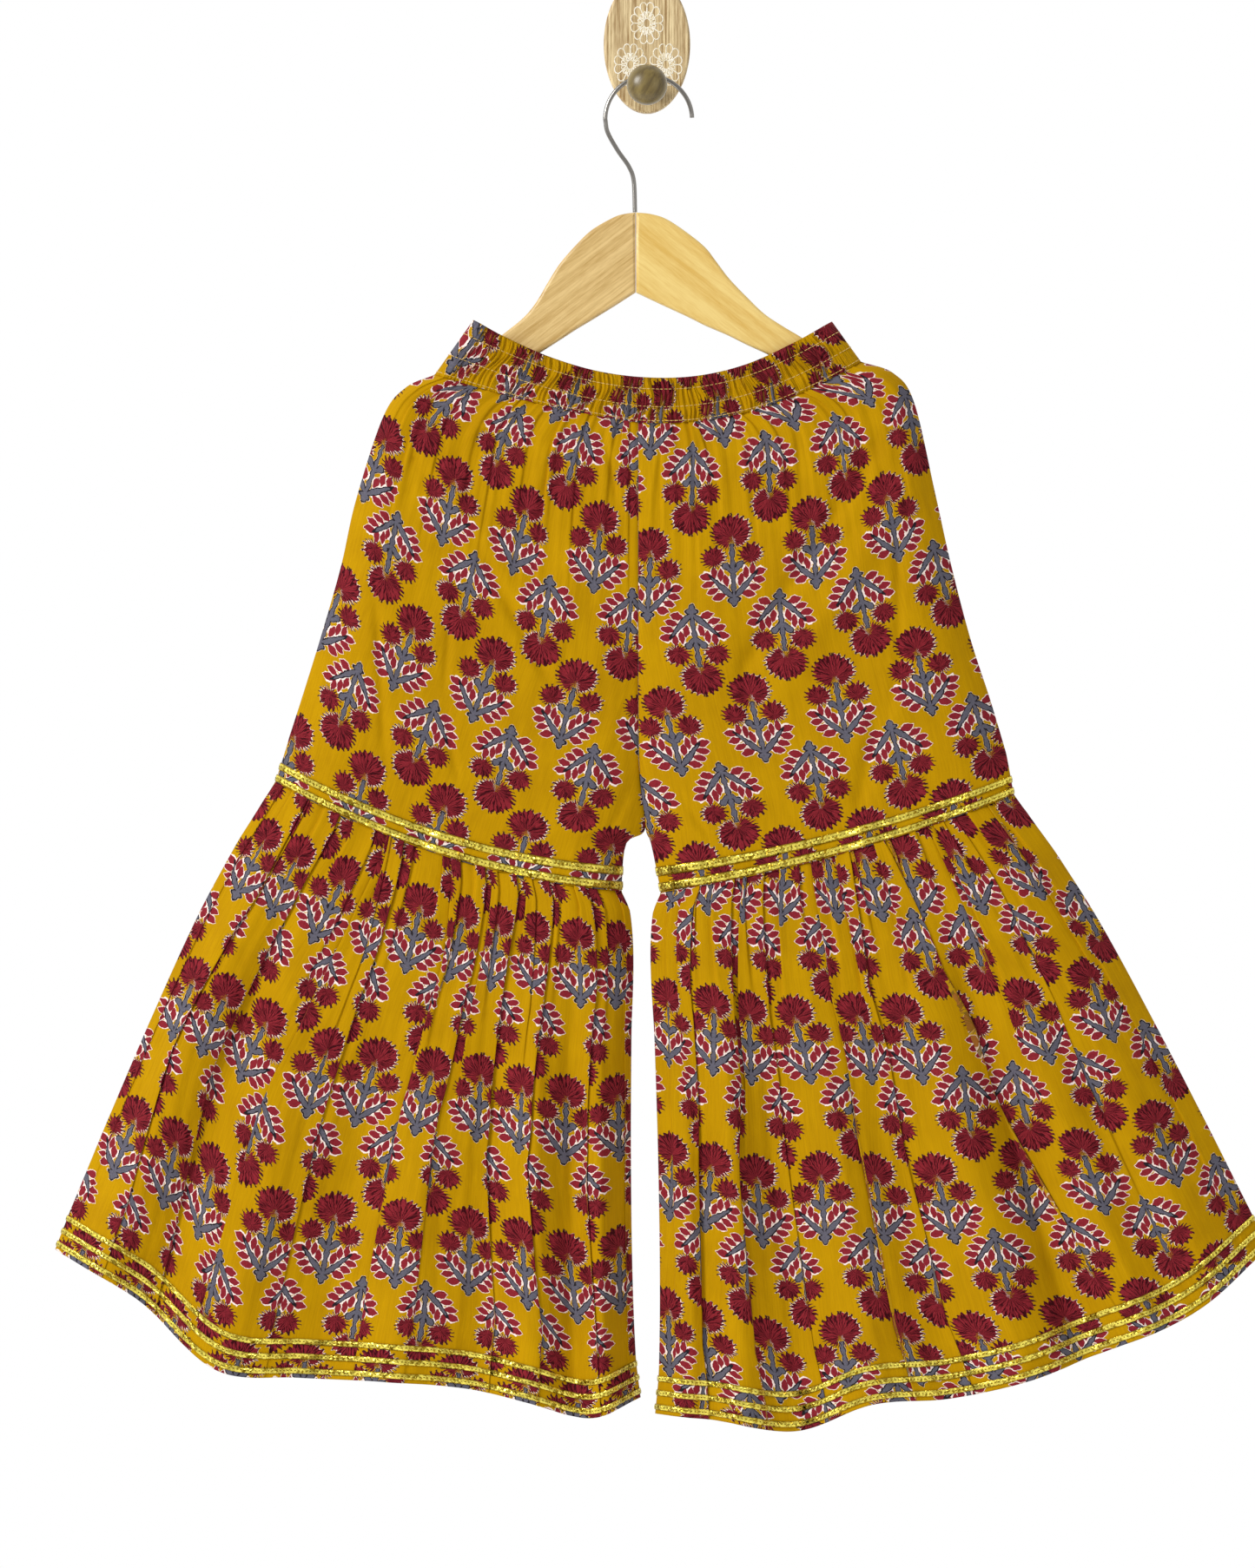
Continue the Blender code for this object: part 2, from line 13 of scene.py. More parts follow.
import bmesh
import bpy
import numpy as np
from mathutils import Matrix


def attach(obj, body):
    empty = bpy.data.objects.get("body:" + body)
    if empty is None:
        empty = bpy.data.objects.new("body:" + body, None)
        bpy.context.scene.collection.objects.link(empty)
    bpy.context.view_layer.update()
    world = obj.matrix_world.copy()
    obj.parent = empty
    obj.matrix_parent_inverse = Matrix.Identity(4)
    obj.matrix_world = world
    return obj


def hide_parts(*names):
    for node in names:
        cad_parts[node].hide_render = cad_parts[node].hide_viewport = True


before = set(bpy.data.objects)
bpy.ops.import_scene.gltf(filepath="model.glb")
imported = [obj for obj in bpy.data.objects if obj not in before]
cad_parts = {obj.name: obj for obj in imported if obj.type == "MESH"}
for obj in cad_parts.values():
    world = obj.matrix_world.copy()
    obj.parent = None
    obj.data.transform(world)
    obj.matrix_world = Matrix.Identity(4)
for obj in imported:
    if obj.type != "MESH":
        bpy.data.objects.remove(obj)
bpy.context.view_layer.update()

MM = 0.001
BODY = "root"
GAP = 0.3  # between two solids

# The middle of the hanging garment, and its two faces
MIDDLE = -30.0
FRONT, BACK = -1, 1
FACES = {"front": FRONT, "back": BACK}

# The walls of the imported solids, which give the form
CLOTH = 1.3
CASING = 2.4
EDGE = CLOTH + GAP / 2
CASING_EDGE = CASING + GAP / 2

# The cloth that shows
SHEET = 0.25  # thickness
CASING_SHEET = 1.8  # two layers and the elastic
FOLD_EDGE = 0.27  # from the garment's middle to the cloth's outer face at a side fold
SEAM = 0.04  # between two sewn pieces
FOLD_ROUND = 2.2  # radius of a pressed side fold

# How the cloth comes up from its edges and seams
RIM_CURVE = 2.2
CREASES_FROM = (2, 12)  # how far in from an end they begin, and are whole
FLUTES_FROM = (2, 16)
FOLDS_FROM = (1, 9)
SEAM_FURROW, SEAM_FURROW_WIDTH = 0.6, 1.3  # how far the cloth dips at a seam, and its reach
WAIST_FURROW, WAIST_FURROW_ROWS = 1.1, 0.25
KNEE_FURROW, KNEE_FURROW_SHARE = 0.9, 0.018
FLUTE_GROWTH = 0.45  # share of a flounce's height in which a flute comes up

# Upper leg. Each row is a line across the leg, from the side fold to the middle seam or inseam. Its
# middle hangs below a straight line by its sag. It stands out from the garment's middle by its
# depth, which it reaches a rim's width in from its ends. Joined is 1 where its inner end is sewn to
# the other leg, and 0 where that end is a fold.
Section = namedtuple("Section", "side_x side_z seam_x seam_z sag depth rim joined")
LEFT_LEG = (
    Section(-132, -179, -5.4, -209, 3, 9.2, 8, 0.95),
    Section(-150, -187, -5.4, -221, 4, 9.6, 9, 0.95),
    Section(-164, -205, -5.4, -240, 5, 10.2, 13, 0.93),
    Section(-181, -257, -5.4, -300, 7, 12.0, 24, 0.85),
    Section(-190, -297, -5.4, -343, 8, 13.0, 30, 0.75),
    Section(-201, -336, -5.4, -386, 9, 13.6, 34, 0.60),
    Section(-213, -375, -4.6, -428, 10, 14.0, 36, 0.32),
    Section(-222, -403, -1.0, -461, 11, 14.0, 38, 0.0),
    Section(-224, -410, -13, -471, 12, 14.0, 38, 0.0),
    Section(-231, -432, -16, -500, 13, 14.0, 38, 0.0),
)
RIGHT_LEG = (
    Section(133, -171, -5.4, -209, 12, 9.2, 8, 0.95),
    Section(153, -178, -5.4, -221, 12, 9.6, 9, 0.95),
    Section(166, -196, -5.4, -240, 10, 10.2, 13, 0.93),
    Section(179, -252, -5.4, -300, 8, 12.0, 24, 0.85),
    Section(189, -297, -5.4, -343, 8, 13.0, 30, 0.75),
    Section(201, -343, -5.4, -386, 8, 13.6, 34, 0.60),
    Section(213, -380, -4.6, -428, 7, 14.0, 36, 0.32),
    Section(222, -410, -1.0, -461, 7, 14.0, 38, 0.0),
    Section(224, -418, 2.5, -471, 7, 14.0, 38, 0.0),
    Section(228, -440, 8.6, -501, 7, 14.0, 38, 0.0),
)
KNEE_ROW = len(LEFT_LEG) - 1
LAST_ROW = 25.0  # height of a leg's last row of cloth, above its knee seam

# Hem of each flounce, from the side fold to the inner fold
Point = namedtuple("Point", "x z")
LEFT_HEM = (
    Point(-368, -723),
    Point(-318, -752),
    Point(-268, -796),
    Point(-216, -802),
    Point(-164, -804),
    Point(-117, -808),
    Point(-74, -817),
    Point(-37, -827),
    Point(-4, -815),
)
RIGHT_HEM = (
    Point(386, -722),
    Point(338, -762),
    Point(288, -784),
    Point(238, -803),
    Point(188, -815),
    Point(140, -818),
    Point(94, -835),
    Point(48, -829),
    Point(5, -825),
)

# A leg's rows of print lie parallel to its knee seam, so its grain leans by this many degrees.
Leg = namedtuple("Leg", "name hand sections hem lean")
LEGS = (
    Leg("left", -1, LEFT_LEG, LEFT_HEM, 17.8),
    Leg("right", 1, RIGHT_LEG, RIGHT_HEM, -15.8),
)
# The print starts at a place of its own on each piece, as the pieces were cut from a longer cloth.
# Slant is how much lower its rows lie at the inner side than at the outer. Cloth pulls out of
# square as it is worn: near and far are how far its columns have moved to the right at the knee and
# at the other end, begins is where the change between them starts, and sinks is how much lower its
# rows lie at that end's inner side.
Start = namedtuple("Start", "across up slant near far begins sinks", defaults=(0, 0, 0, 0, 0))
PULL_ENDS = 0.95  # share of the way from the knee where that change is whole
SIDE_PULL, PULL_GROWS = 0.3, 2.5  # the side fold holds the cloth back, less and less away from it
LEG_PRINT = {
    ("left", FRONT): Start(-4.9, -16.0, 2.4, -6.0, 11.5, 0.37, 5.7),
    ("right", FRONT): Start(-18.6, 6.4, -5.2, -6.0, 7.5, 0, 0),
    ("left", BACK): Start(20, 31),
    ("right", BACK): Start(9, 12),
}
FLOUNCE_PRINT = {
    ("left", FRONT): Start(-20, 48.4, 0, 0, 0, 0, 4.2),
    ("right", FRONT): Start(-20, 41.4, -57, 3.8, -4.0, 0.3, 3.8),
    ("left", BACK): Start(14, 40),
    ("right", BACK): Start(33, 8),
}

# Broad drapes and narrow creases of an upper leg, from one point to another
Drape = namedtuple("Drape", "x z end_x end_z depth width")
LEG_DRAPES = {
    ("left", FRONT): (
        Drape(-143, -212, -82, -322, 2.4, 11),
        Drape(-190, -345, -120, -440, 1.8, 14),
        Drape(-30, -250, -62, -360, 1.6, 10),
        Drape(-112, -274, -54, -380, -3.2, 3.4),
        Drape(-151, -219, -133, -255, -2.4, 2.6),
        Drape(-158, -224, -141, -262, -1.6, 2.6),
        Drape(-160, -258, -156, -288, -1.4, 3.0),
        Drape(-169, -306, -162, -422, -1.9, 3.0),
        Drape(-122, -334, -126, -376, -1.5, 2.6),
        Drape(-126, -390, -117, -430, -1.7, 2.6),
        Drape(-116, -220, -90, -206, 1.3, 2.6),
        Drape(-27, -216, -16, -268, -1.5, 2.2),
        Drape(-61, -222, -74, -276, 1.2, 2.6),
        Drape(-48, -262, -40, -306, -0.9, 2.6),
        Drape(-10, -272, -7, -320, -1.1, 2.2),
        Drape(-50, -352, -58, -398, -0.9, 3.0),
        Drape(-8, -432, -24, -464, -1.3, 2.8),
        Drape(-20, -392, -44, -462, 1.2, 4.4),
    ),
    ("right", FRONT): (
        Drape(168, -236, 78, -384, 2.6, 9),
        Drape(30, -250, 52, -380, 1.6, 11),
        Drape(190, -350, 110, -430, 1.8, 15),
        Drape(146, -220, 95, -301, -3.6, 4.6),
        Drape(103, -286, 51, -379, -3.0, 5.6),
        Drape(151, -224, 101, -304, 1.2, 3.2),
        Drape(59, -366, 67, -414, -1.8, 3.4),
        Drape(155, -274, 157, -360, -1.5, 3.2),
        Drape(157, -356, 146, -410, -1.2, 3.4),
        Drape(146, -376, 130, -456, -2.4, 5.6),
        Drape(7, -219, 1, -270, 1.4, 2.0),
        Drape(34, -221, 30, -276, -1.1, 2.4),
        Drape(58, -222, 62, -270, 1.0, 2.6),
        Drape(93, -216, 97, -272, -1.3, 2.4),
        Drape(118, -212, 129, -246, 1.0, 2.4),
        Drape(22, -300, 16, -352, -0.8, 3.2),
        Drape(20, -440, 40, -468, -1.2, 3.0),
    ),
    ("left", BACK): (
        Drape(-120, -230, -70, -350, 2.4, 13),
        Drape(-40, -300, -90, -430, 1.8, 12),
        Drape(-32, -216, -26, -280, 1.4, 2.1),
        Drape(-66, -220, -58, -276, -1.2, 2.1),
        Drape(-102, -222, -118, -302, 1.2, 2.7),
        Drape(-150, -300, -166, -380, -1.0, 3.5),
        Drape(-30, -380, -46, -458, 1.2, 4.0),
    ),
    ("right", BACK): (
        Drape(130, -235, 60, -360, 2.4, 12),
        Drape(50, -330, 120, -430, 1.8, 13),
        Drape(16, -218, 22, -290, -1.2, 2.1),
        Drape(52, -222, 46, -268, 1.4, 1.9),
        Drape(96, -218, 112, -296, -1.2, 2.7),
        Drape(146, -290, 160, -372, 1.0, 3.5),
        Drape(26, -396, 40, -462, 1.2, 4.0),
    ),
}

# Broad flutes of a flounce: place across it, half width, height, and how far down it begins
Flute = namedtuple("Flute", "place width height begins")
FLUTES = {
    ("left", FRONT): (
        Flute(0.07, 0.035, 6.0, 0.10),
        Flute(0.155, 0.030, -7.5, 0.00),
        Flute(0.26, 0.050, 8.5, 0.30),
        Flute(0.40, 0.045, -5.5, 0.20),
        Flute(0.52, 0.045, 7.5, 0.25),
        Flute(0.66, 0.035, -5.0, 0.10),
        Flute(0.76, 0.035, 7.0, 0.05),
        Flute(0.85, 0.030, -6.5, 0.05),
        Flute(0.92, 0.030, 6.0, 0.20),
    ),
    ("right", FRONT): (
        Flute(0.09, 0.040, 5.5, 0.25),
        Flute(0.20, 0.040, 7.5, 0.20),
        Flute(0.29, 0.028, -9.0, 0.02),
        Flute(0.38, 0.045, 8.0, 0.10),
        Flute(0.50, 0.045, -5.0, 0.30),
        Flute(0.62, 0.045, 7.0, 0.15),
        Flute(0.74, 0.040, -5.0, 0.10),
        Flute(0.84, 0.035, 9.0, 0.05),
        Flute(0.905, 0.025, -7.0, 0.10),
    ),
    ("left", BACK): (
        Flute(0.12, 0.045, 6.0, 0.10),
        Flute(0.24, 0.040, -6.0, 0.15),
        Flute(0.35, 0.045, 6.5, 0.05),
        Flute(0.49, 0.040, -5.0, 0.20),
        Flute(0.61, 0.045, 6.5, 0.20),
        Flute(0.73, 0.035, -5.5, 0.10),
        Flute(0.85, 0.040, 6.0, 0.15),
    ),
    ("right", BACK): (
        Flute(0.10, 0.040, 6.0, 0.20),
        Flute(0.22, 0.035, -5.5, 0.10),
        Flute(0.36, 0.050, 6.5, 0.15),
        Flute(0.47, 0.035, -5.0, 0.05),
        Flute(0.60, 0.045, 6.0, 0.10),
        Flute(0.71, 0.040, -6.0, 0.20),
        Flute(0.84, 0.045, 6.5, 0.10),
    ),
}

# How a flounce stands out, in front and behind, at each share of its height. Side and inner are how
# far its two ends bow outwards.
Flare = namedtuple("Flare", "down front back rim side inner")
FLARES = (
    Flare(0.00, 14.0, 14.0, 38, 0, 0),
    Flare(0.04, 15.6, 15.0, 38, 2, 5),
    Flare(0.13, 16.4, 15.2, 36, 6, 6),
    Flare(0.28, 17.2, 15.0, 36, 9, 3),
    Flare(0.50, 18.2, 14.6, 38, 8, 0),
    Flare(0.74, 18.8, 14.6, 40, 5, -2),
    Flare(0.92, 19.0, 14.6, 42, 2, -2),
    Flare(1.00, 19.0, 14.6, 42, 0, 0),
)

# Leaning folds, where the cloth doubles over itself. Place is the middle of the hidden cloth, in
# millimetres of flat cloth from the side fold, and it drifts this far on its way down. Turn is 1
# where the outer side lies on top. The last four are the widths hidden at these shares of the height.
Fold = namedtuple("Fold", "place drift turn knee upper middle hem")
FOLD_LEVELS = (0.03, 0.25, 0.55, 0.86)
FLOUNCE_FOLDS = {
    ("left", FRONT): (
        Fold(9, 0, 1, 3, 4, 5, 3),
        Fold(48, -3, 1, 14, 26, 34, 15),
        Fold(98, 6, 1, 12, 22, 25, 28),
        Fold(153, -8, -1, 12, 12, 8, 6),
        Fold(205, 2, 1, 14, 22, 20, 15),
        Fold(260, 8, -1, 12, 20, 15, 9),
        Fold(313, -6, 1, 12, 18, 18, 4),
        Fold(364, 4, 1, 14, 24, 28, 13),
        Fold(420, -4, 1, 14, 22, 27, 23),
        Fold(474, 3, 1, 16, 24, 18, 27),
        Fold(507, 0, -1, 4, 5, 6, 5),
    ),
    ("right", FRONT): (
        Fold(16, 0, 1, 3, 4, 5, 3),
        Fold(59, 6, -1, 10, 12, 5, 2),
        Fold(108, -14, 1, 12, 8, 2, 1),
        Fold(158, -52, -1, 15, 17, 16, 4),
        Fold(212, 4, -1, 14, 23, 15, 9),
        Fold(268, -3, 1, 13, 14, 18, 15),
        Fold(321, 5, -1, 14, 23, 12, 8),
        Fold(374, -3, -1, 14, 26, 22, 11),
        Fold(425, -4, -1, 14, 20, 24, 27),
        Fold(460, 0, 1, 3, 4, 4, 3),
    ),
    ("left", BACK): (
        Fold(30, 0, 1, 9, 12, 12, 8),
        Fold(84, 6, -1, 13, 20, 22, 14),
        Fold(140, -4, 1, 12, 18, 12, 4),
        Fold(196, 5, 1, 15, 24, 26, 20),
        Fold(250, -6, -1, 12, 16, 10, 6),
        Fold(305, 3, 1, 14, 22, 24, 16),
        Fold(358, 6, -1, 13, 18, 14, 5),
        Fold(410, -5, -1, 15, 24, 26, 22),
        Fold(456, 2, 1, 9, 12, 10, 8),
    ),
    ("right", BACK): (
        Fold(26, 2, -1, 9, 12, 13, 9),
        Fold(80, -5, 1, 13, 20, 14, 6),
        Fold(136, 4, -1, 14, 24, 26, 20),
        Fold(192, 8, 1, 12, 16, 9, 4),
        Fold(247, -4, -1, 14, 22, 24, 17),
        Fold(304, 3, 1, 13, 18, 12, 6),
        Fold(360, -6, -1, 15, 24, 24, 18),
        Fold(414, 5, 1, 12, 18, 20, 12),
        Fold(468, -3, -1, 14, 22, 16, 10),
        Fold(510, 0, 1, 5, 7, 8, 6),
    ),
}
TWO_GATHERS = 40.0  # main folds further apart than this have two small ones between them
WIDEST_GATHER = 8.0  # the most cloth that a small one of weight 1 hides
STEEPEST = 3.0  # a fold hides at most this many times its half width
FOLD_LIES = 0.27  # how far a fold's middle lies to one side of its place, as a share of its width
FOLD_TURNS = 1.2  # how sharply the cloth turns back in a fold
LAYER_LIES = 0.85  # how nearly flat a fold's middle layer may lie
BUMP_SLOPE = 1.65  # of the curve that raises a fold, at its middle
LEG_GATHERS_END = (0.1, 0.75)  # shares of the height where the shortest and longest have run out
FLOUNCE_GATHERS_END = (0.2, 0.6)
GATHER_FADES = 0.3  # share of the height in which a small one runs out
END_MARGIN = 0.02  # share of a piece's width that is free of small ones at each end
# How much of its height a laid fold keeps, and how much of that it loses on its way down
Settle = namedtuple("Settle", "loss begins ends")
LEG_BULK, LEG_SETTLES = 0.65, (Settle(0.5, 0.05, 0.5),)
FLOUNCE_BULK, FLOUNCE_SETTLES = 0.55, (Settle(0.13, 0.05, 0.3), Settle(0.12, 0.5, 1.0))
CASING_BULK, CASING_SWELLS = 0.5, 0.4  # at a seam, and how much more between two
LEG_GATHERS = 24
CASING_TUCKS = 150

# Flat sizes of the cut cloth, in front or behind. A flounce is one length round the leg, and the
# side folds don't halve it exactly.
FLOUNCE_FLAT = {
    ("left", FRONT): 515.0,
    ("right", FRONT): 470.0,
    ("left", BACK): 485.0,
    ("right", BACK): 530.0,
}
FLOUNCE_LENGTH = 332.0
WAIST_FLAT = 198.0  # an upper leg is nowhere cut narrower than this
LEG_FLAT, LEG_LENGTH = 245.0, 292.0
CASING_HEIGHT = 30.0
LEAST_FOLD = 2.6  # half width of the smallest flounce fold, and below of smaller ones
LEAST_LEG_FOLD = 1.9
LEAST_TUCK = 1.0

# Upper edge of the waist casing
CASING_TOP = (
    Point(-108, -145),
    Point(-88, -156),
    Point(-61, -168),
    Point(-31, -177),
    Point(0, -181),
    Point(31, -180),
    Point(61, -173),
    Point(90, -160),
    Point(115, -146),
)
CASING_DEPTH = 9.2
CASING_PUFF = 0.9
CASING_RIM = 8
CASING_TURN, CASING_TURN_DEPTH = 1.6, 0.9  # its rounded upper edge, down and inwards
CASING_SEAMS = (0.25, 0.63, 0.95)  # stitched lines through the casing, down its height
CASING_TAKEN_IN = 5.0  # cloth inside the seam below it, which shifts its print
CASING_CREASE = Drape(-3, -180, 7, -198, 1.7, 2.6)  # where the elastic's ends were sewn in

# Gold ribbon
RIBBON = 0.35
RIBBON_LIFT = 0.25
RIBBON_CROWN = 0.22  # how much higher its middle lies than its edges
RIBBON_LINES = (0.5, 0.17, -0.17, -0.5)  # from its middle, as shares of its width
Ripple = namedtuple("Ripple", "height pace start")
RIPPLES = (Ripple(0.16, 2.1, 0), Ripple(0.12, 3.7, 1.3), Ripple(0.1, 0.83, 0))
CRIMP_TILT, RIBBON_TWIST = 0.4, 1.6  # the most that they turn the light
KNEE_RIBBON_WIDTH = 4.2
HEM_RIBBON_WIDTH = 3.4
KNEE_RIBBONS = {"upper": 10.0, "lower": 2.6}
HEM_RIBBONS = {"1": 22.4, "2": 13.4, "3": 4.4}
TUCK = 5.0  # cloth taken in under each ribbon, which shifts the print

# Sewing
THREAD = 0.24  # radius
STITCH = 3.2
STITCH_SHOWS = 0.75  # share of a stitch that lies on the cloth
STITCH_LIES, STITCH_DIPS = 0.2, -0.9
GILT_STITCH = 2.4  # along a ribbon's middle
THREAD_STEP = 0.64

# Steps of the meshes, and heights of rows above a ribbon's middle and above the hem
FLOUNCE_COLUMNS, FLOUNCE_BODY_ROWS = {FRONT: 400, BACK: 320}, 58
LEG_COLUMNS, LEG_BODY_ROWS = 200, {FRONT: 86, BACK: 42}
CASING_COLUMNS, CASING_ROWS = {FRONT: 920, BACK: 740}, 22
LEG_BEGINS = -0.12  # place in its table, just inside the casing
LEG_BODY_ENDS = 0.62  # rows of its table above the knee
FLOUNCE_BEGINS = -0.005  # share of its height, just inside the leg
FLOUNCE_BODY_ENDS = 0.012  # share of its height above the hem's rows
LINE_STEPS, WIDTH_STEPS, FLAT_STEPS = 160, 40, 4000  # for measuring lines and spacing columns
CLOSER_AT_FOLDS, CLOSER_AT_SIDES, SIDE_STRIP = 0.9, 3.0, 2.5  # how the columns crowd, and how near
UNDER_KNEE_RIBBON = (1.7, 0.5, -0.5, -1.7)
UNDER_HEM_RIBBON = (1.5, 0.5, -0.5, -1.5)
HEM_ROWS = (17.9, 8.9, 1.2, 0.0)

# Hanger: the outline of each half, by its distance from the joint
JOINT_X = -7.0
HANGER_THICKNESS = 10.0
HANGER_ROUNDING = 1.9
ARM_STEPS, TIP_STEPS = 6, 18
Arm = namedtuple("Arm", "reach top under")
LEFT_ARM = (
    Arm(0, -78.3, -128),
    Arm(7, -79.2, -132.5),
    Arm(14, -81.5, -137),
    Arm(27, -89, -145),
    Arm(37, -98.5, -151),
    Arm(47, -110, -157.5),
    Arm(54, -121, -162),
    Arm(62, -134.5, -167),
    Arm(70, -144, -172),
    Arm(83, -154.5, -180),
    Arm(104, -171, -193),
    Arm(123, -187, -205),
    Arm(138, -198, -213),
)
RIGHT_ARM = (
    Arm(0, -78.3, -128),
    Arm(9, -79.2, -132.3),
    Arm(19, -82.4, -137),
    Arm(32, -91, -143),
    Arm(43, -100, -148.5),
    Arm(50, -109, -151.5),
    Arm(58, -119.5, -155),
    Arm(69, -131, -160.5),
    Arm(80, -141.5, -165.5),
    Arm(92, -149.5, -171.5),
    Arm(105, -157.5, -179),
    Arm(122, -171.5, -190.5),
    Arm(138, -187, -202),
)

# Hanger's hook
WIRE = 1.4
HOOK_RADIUS = 27.0
HOOK_X, HOOK_Z = 1.0, -20.2
HOOK_OPEN, HOOK_STEP = 2, 4  # degrees: where its open end is, and from point to point
NECK_STEPS = 12
SWAN_NECK = (
    Point(-26.0, -20.2),
    Point(-24.4, -28.5),
    Point(-18.2, -39.6),
    Point(-11.2, -49.8),
    Point(-8.2, -59.0),
    Point(-7.5, -78.0),
)

# Wall hook
PLAQUE_WIDTH, PLAQUE_HEIGHT, PLAQUE_THICKNESS = 54.0, 86.0, 12.0
PLAQUE_Z = 28.0
PLAQUE_ROUNDING = 2.0
PLAQUE_SIDES = 96
KNOB_STEPS, KNOB_SIDES = 5, 64
Turned = namedtuple("Turned", "out radius")
KNOB = (
    Turned(58.0, 0.0),
    Turned(57.4, 4.5),
    Turned(55.6, 8.6),
    Turned(52.4, 11.6),
    Turned(48.0, 12.6),
    Turned(43.4, 11.6),
    Turned(39.8, 8.8),
    Turned(37.4, 5.6),
    Turned(35.4, 5.0),
    Turned(20.0, 5.0),
    Turned(15.0, 6.4),
    Turned(PLAQUE_THICKNESS + GAP, 7.4),
)

# White rosettes painted on the plaque
ROSETTES = (Point(0, 41), Point(-10.3, 15.1), Point(11.9, 15.1))
ROSETTE_WIDTH, ROSETTE_HEIGHT = 20.5, 26.5
PETALS = 12
Petal = namedtuple("Petal", "inner outer spread")
PETAL_RINGS = (Petal(0.24, 1.0, 0.33), Petal(0.24, 0.56, 0.2))
EYE = 0.22  # radius of a rosette's middle ring, as a share of its half width
RING_POINTS = 18
PAINT = 0.42  # radius of a painted line, partly sunk in the wood
PAINT_SINKS = 0.4

# The block print: an upright sprig and a turned one in each cell of this size
CELL = (53.5, 97.0)
TO_MM = (1000, 1000, 0)  # from places on the cloth, which are kept in metres
BLOCK_SLIP, BLOCK_LEAN = 0.9, 0.08  # the most that a block is off to a side, and in radians askew
CUT_UNEVEN = 0.95  # how far the edges cut in a block stray
MAIN_TIPS, SIDE_TIPS = 29.0, 18.0  # ragged tips round a flower head
STROKES_FROM = 0.42  # below a head's middle, as a share of its half height
# A mark has its middle, its turn in degrees, and half its length and width
Mark = namedtuple("Mark", "x y turn length width")
BUDS = (
    Mark(17.2, -7.8, 8, 4.6, 2.3),
    Mark(16.2, -12.6, -8, 4.3, 2.15),
    Mark(13.2, -16.7, -14, 4.2, 2.1),
    Mark(9.4, -20.5, -12, 4.5, 2.4),
    Mark(12.2, -5.7, 86, 3.7, 1.95),
    Mark(8.1, -7.4, 92, 4.1, 2.0),
    Mark(4.7, -11.2, 78, 4.1, 2.1),
)
STEMS = (
    Mark(5.3, -17.1, 43, 7.2, 1.75),
    Mark(10.4, -12.1, 45, 6.2, 1.1),
    Mark(2.4, -4.6, 40, 3.6, 1.4),
    Mark(4.5, -2.4, 20, 2.4, 2.0),
    Mark(0.0, -23.2, 0, 3.8, 1.7),
    Mark(0.0, -24.0, 90, 3.4, 2.1),
)
TRUNK = Mark(0.0, -6.2, 90, 16.8, 1.35)
HEAD = Mark(0.0, 18.1, 0, 12.4, 9.9)
SIDE_HEAD = Mark(12.0, 3.6, 0, 7.3, 5.8)
NOTCH = Mark(0.0, 7.6, 90, 5.2, 2.4)

# Camera: straight in front, its view as high as this at the garment
VIEW_X, VIEW_Z = -12.15, -433.6
VIEW_HEIGHT = 975.2
CAMERA_DISTANCE = 6000.0
SENSOR = 36.0
CLIP_END = 50  # metres

# Lamps, whose size is in metres and power in watts, and the point that they are turned to
Lamp = namedtuple("Lamp", "name x y z size power")
LAMPS = (
    Lamp("Key light", -2100, -2000, 1000, 1.2, 74),
    Lamp("Fill light", 1900, -2600, 100, 2.0, 7),
)
LIT_MIDDLE = (0.0, MIDDLE, -420.0)

FLOOR_Z = -1250.0
FLOOR_REACH = 1400.0  # half its side: it ends below the view


def through(values, place):
    """A table's column read at places between its rows, on a smooth curve through them."""
    values = np.asarray(values, float)
    before = 2 * values[0] - values[1]
    after = 2 * values[-1] - values[-2]
    padded = np.concatenate([[before], values, [after]])
    low = np.clip(np.floor(place).astype(int), 0, len(values) - 2)
    t = place - low
    a, b, c, d = (padded[low + k] for k in range(4))
    return b + 0.5 * t * (c - a + t * (2 * a - 5 * b + 4 * c - d + t * (3 * (b - c) + d - a)))


def row_between(rows, place):
    """All columns of a table at places between its rows."""
    place = np.asarray(place, float)
    return type(rows[0])(*(through(column, place) for column in zip(*rows)))


def finer(rows, steps):
    """A table's columns with this many steps from each row to the next."""
    return row_between(rows, np.linspace(0, len(rows) - 1, steps * (len(rows) - 1) + 1))


def rise(distance, rim):
    """How far a rounded side has come up, from 0 at its fold to 1 past its rim."""
    q = np.clip(distance / rim, 0, 1)
    return 1 - (1 - q) ** RIM_CURVE


def pressed(distance):
    """The same for the quarter round of a pressed fold."""
    q = np.clip(distance / FOLD_ROUND, 0, 1)
    return np.sqrt(1 - (1 - q) ** 2)


def step_up(value, low, high):
    """A soft step from 0 to 1."""
    t = np.clip((value - low) / (high - low), 0, 1)
    return t * t * (3 - 2 * t)


def uneven(count, seed):
    """Numbers between 0 and 1 that never settle into a rhythm."""
    return np.mod((np.arange(count) + seed) * 0.61803, 1)


def run_along(points):
    """Lengths along a line from its first point to each of its points."""
    return np.concatenate([[0], np.cumsum(np.linalg.norm(np.diff(points, axis=0), axis=1))])


def ridge(x, z, drape):
    """Height of one drape at points of a leg."""
    along_x, along_z = drape.end_x - drape.x, drape.end_z - drape.z
    length = math.hypot(along_x, along_z)
    share = ((x - drape.x) * along_x + (z - drape.z) * along_z) / length**2
    off = ((x - drape.x) * along_z - (z - drape.z) * along_x) / length
    ends = step_up(share, -0.15, 0.3) * (1 - step_up(share, 0.7, 1.15))
    return drape.depth * ends * np.exp(-((off / drape.width) ** 2))


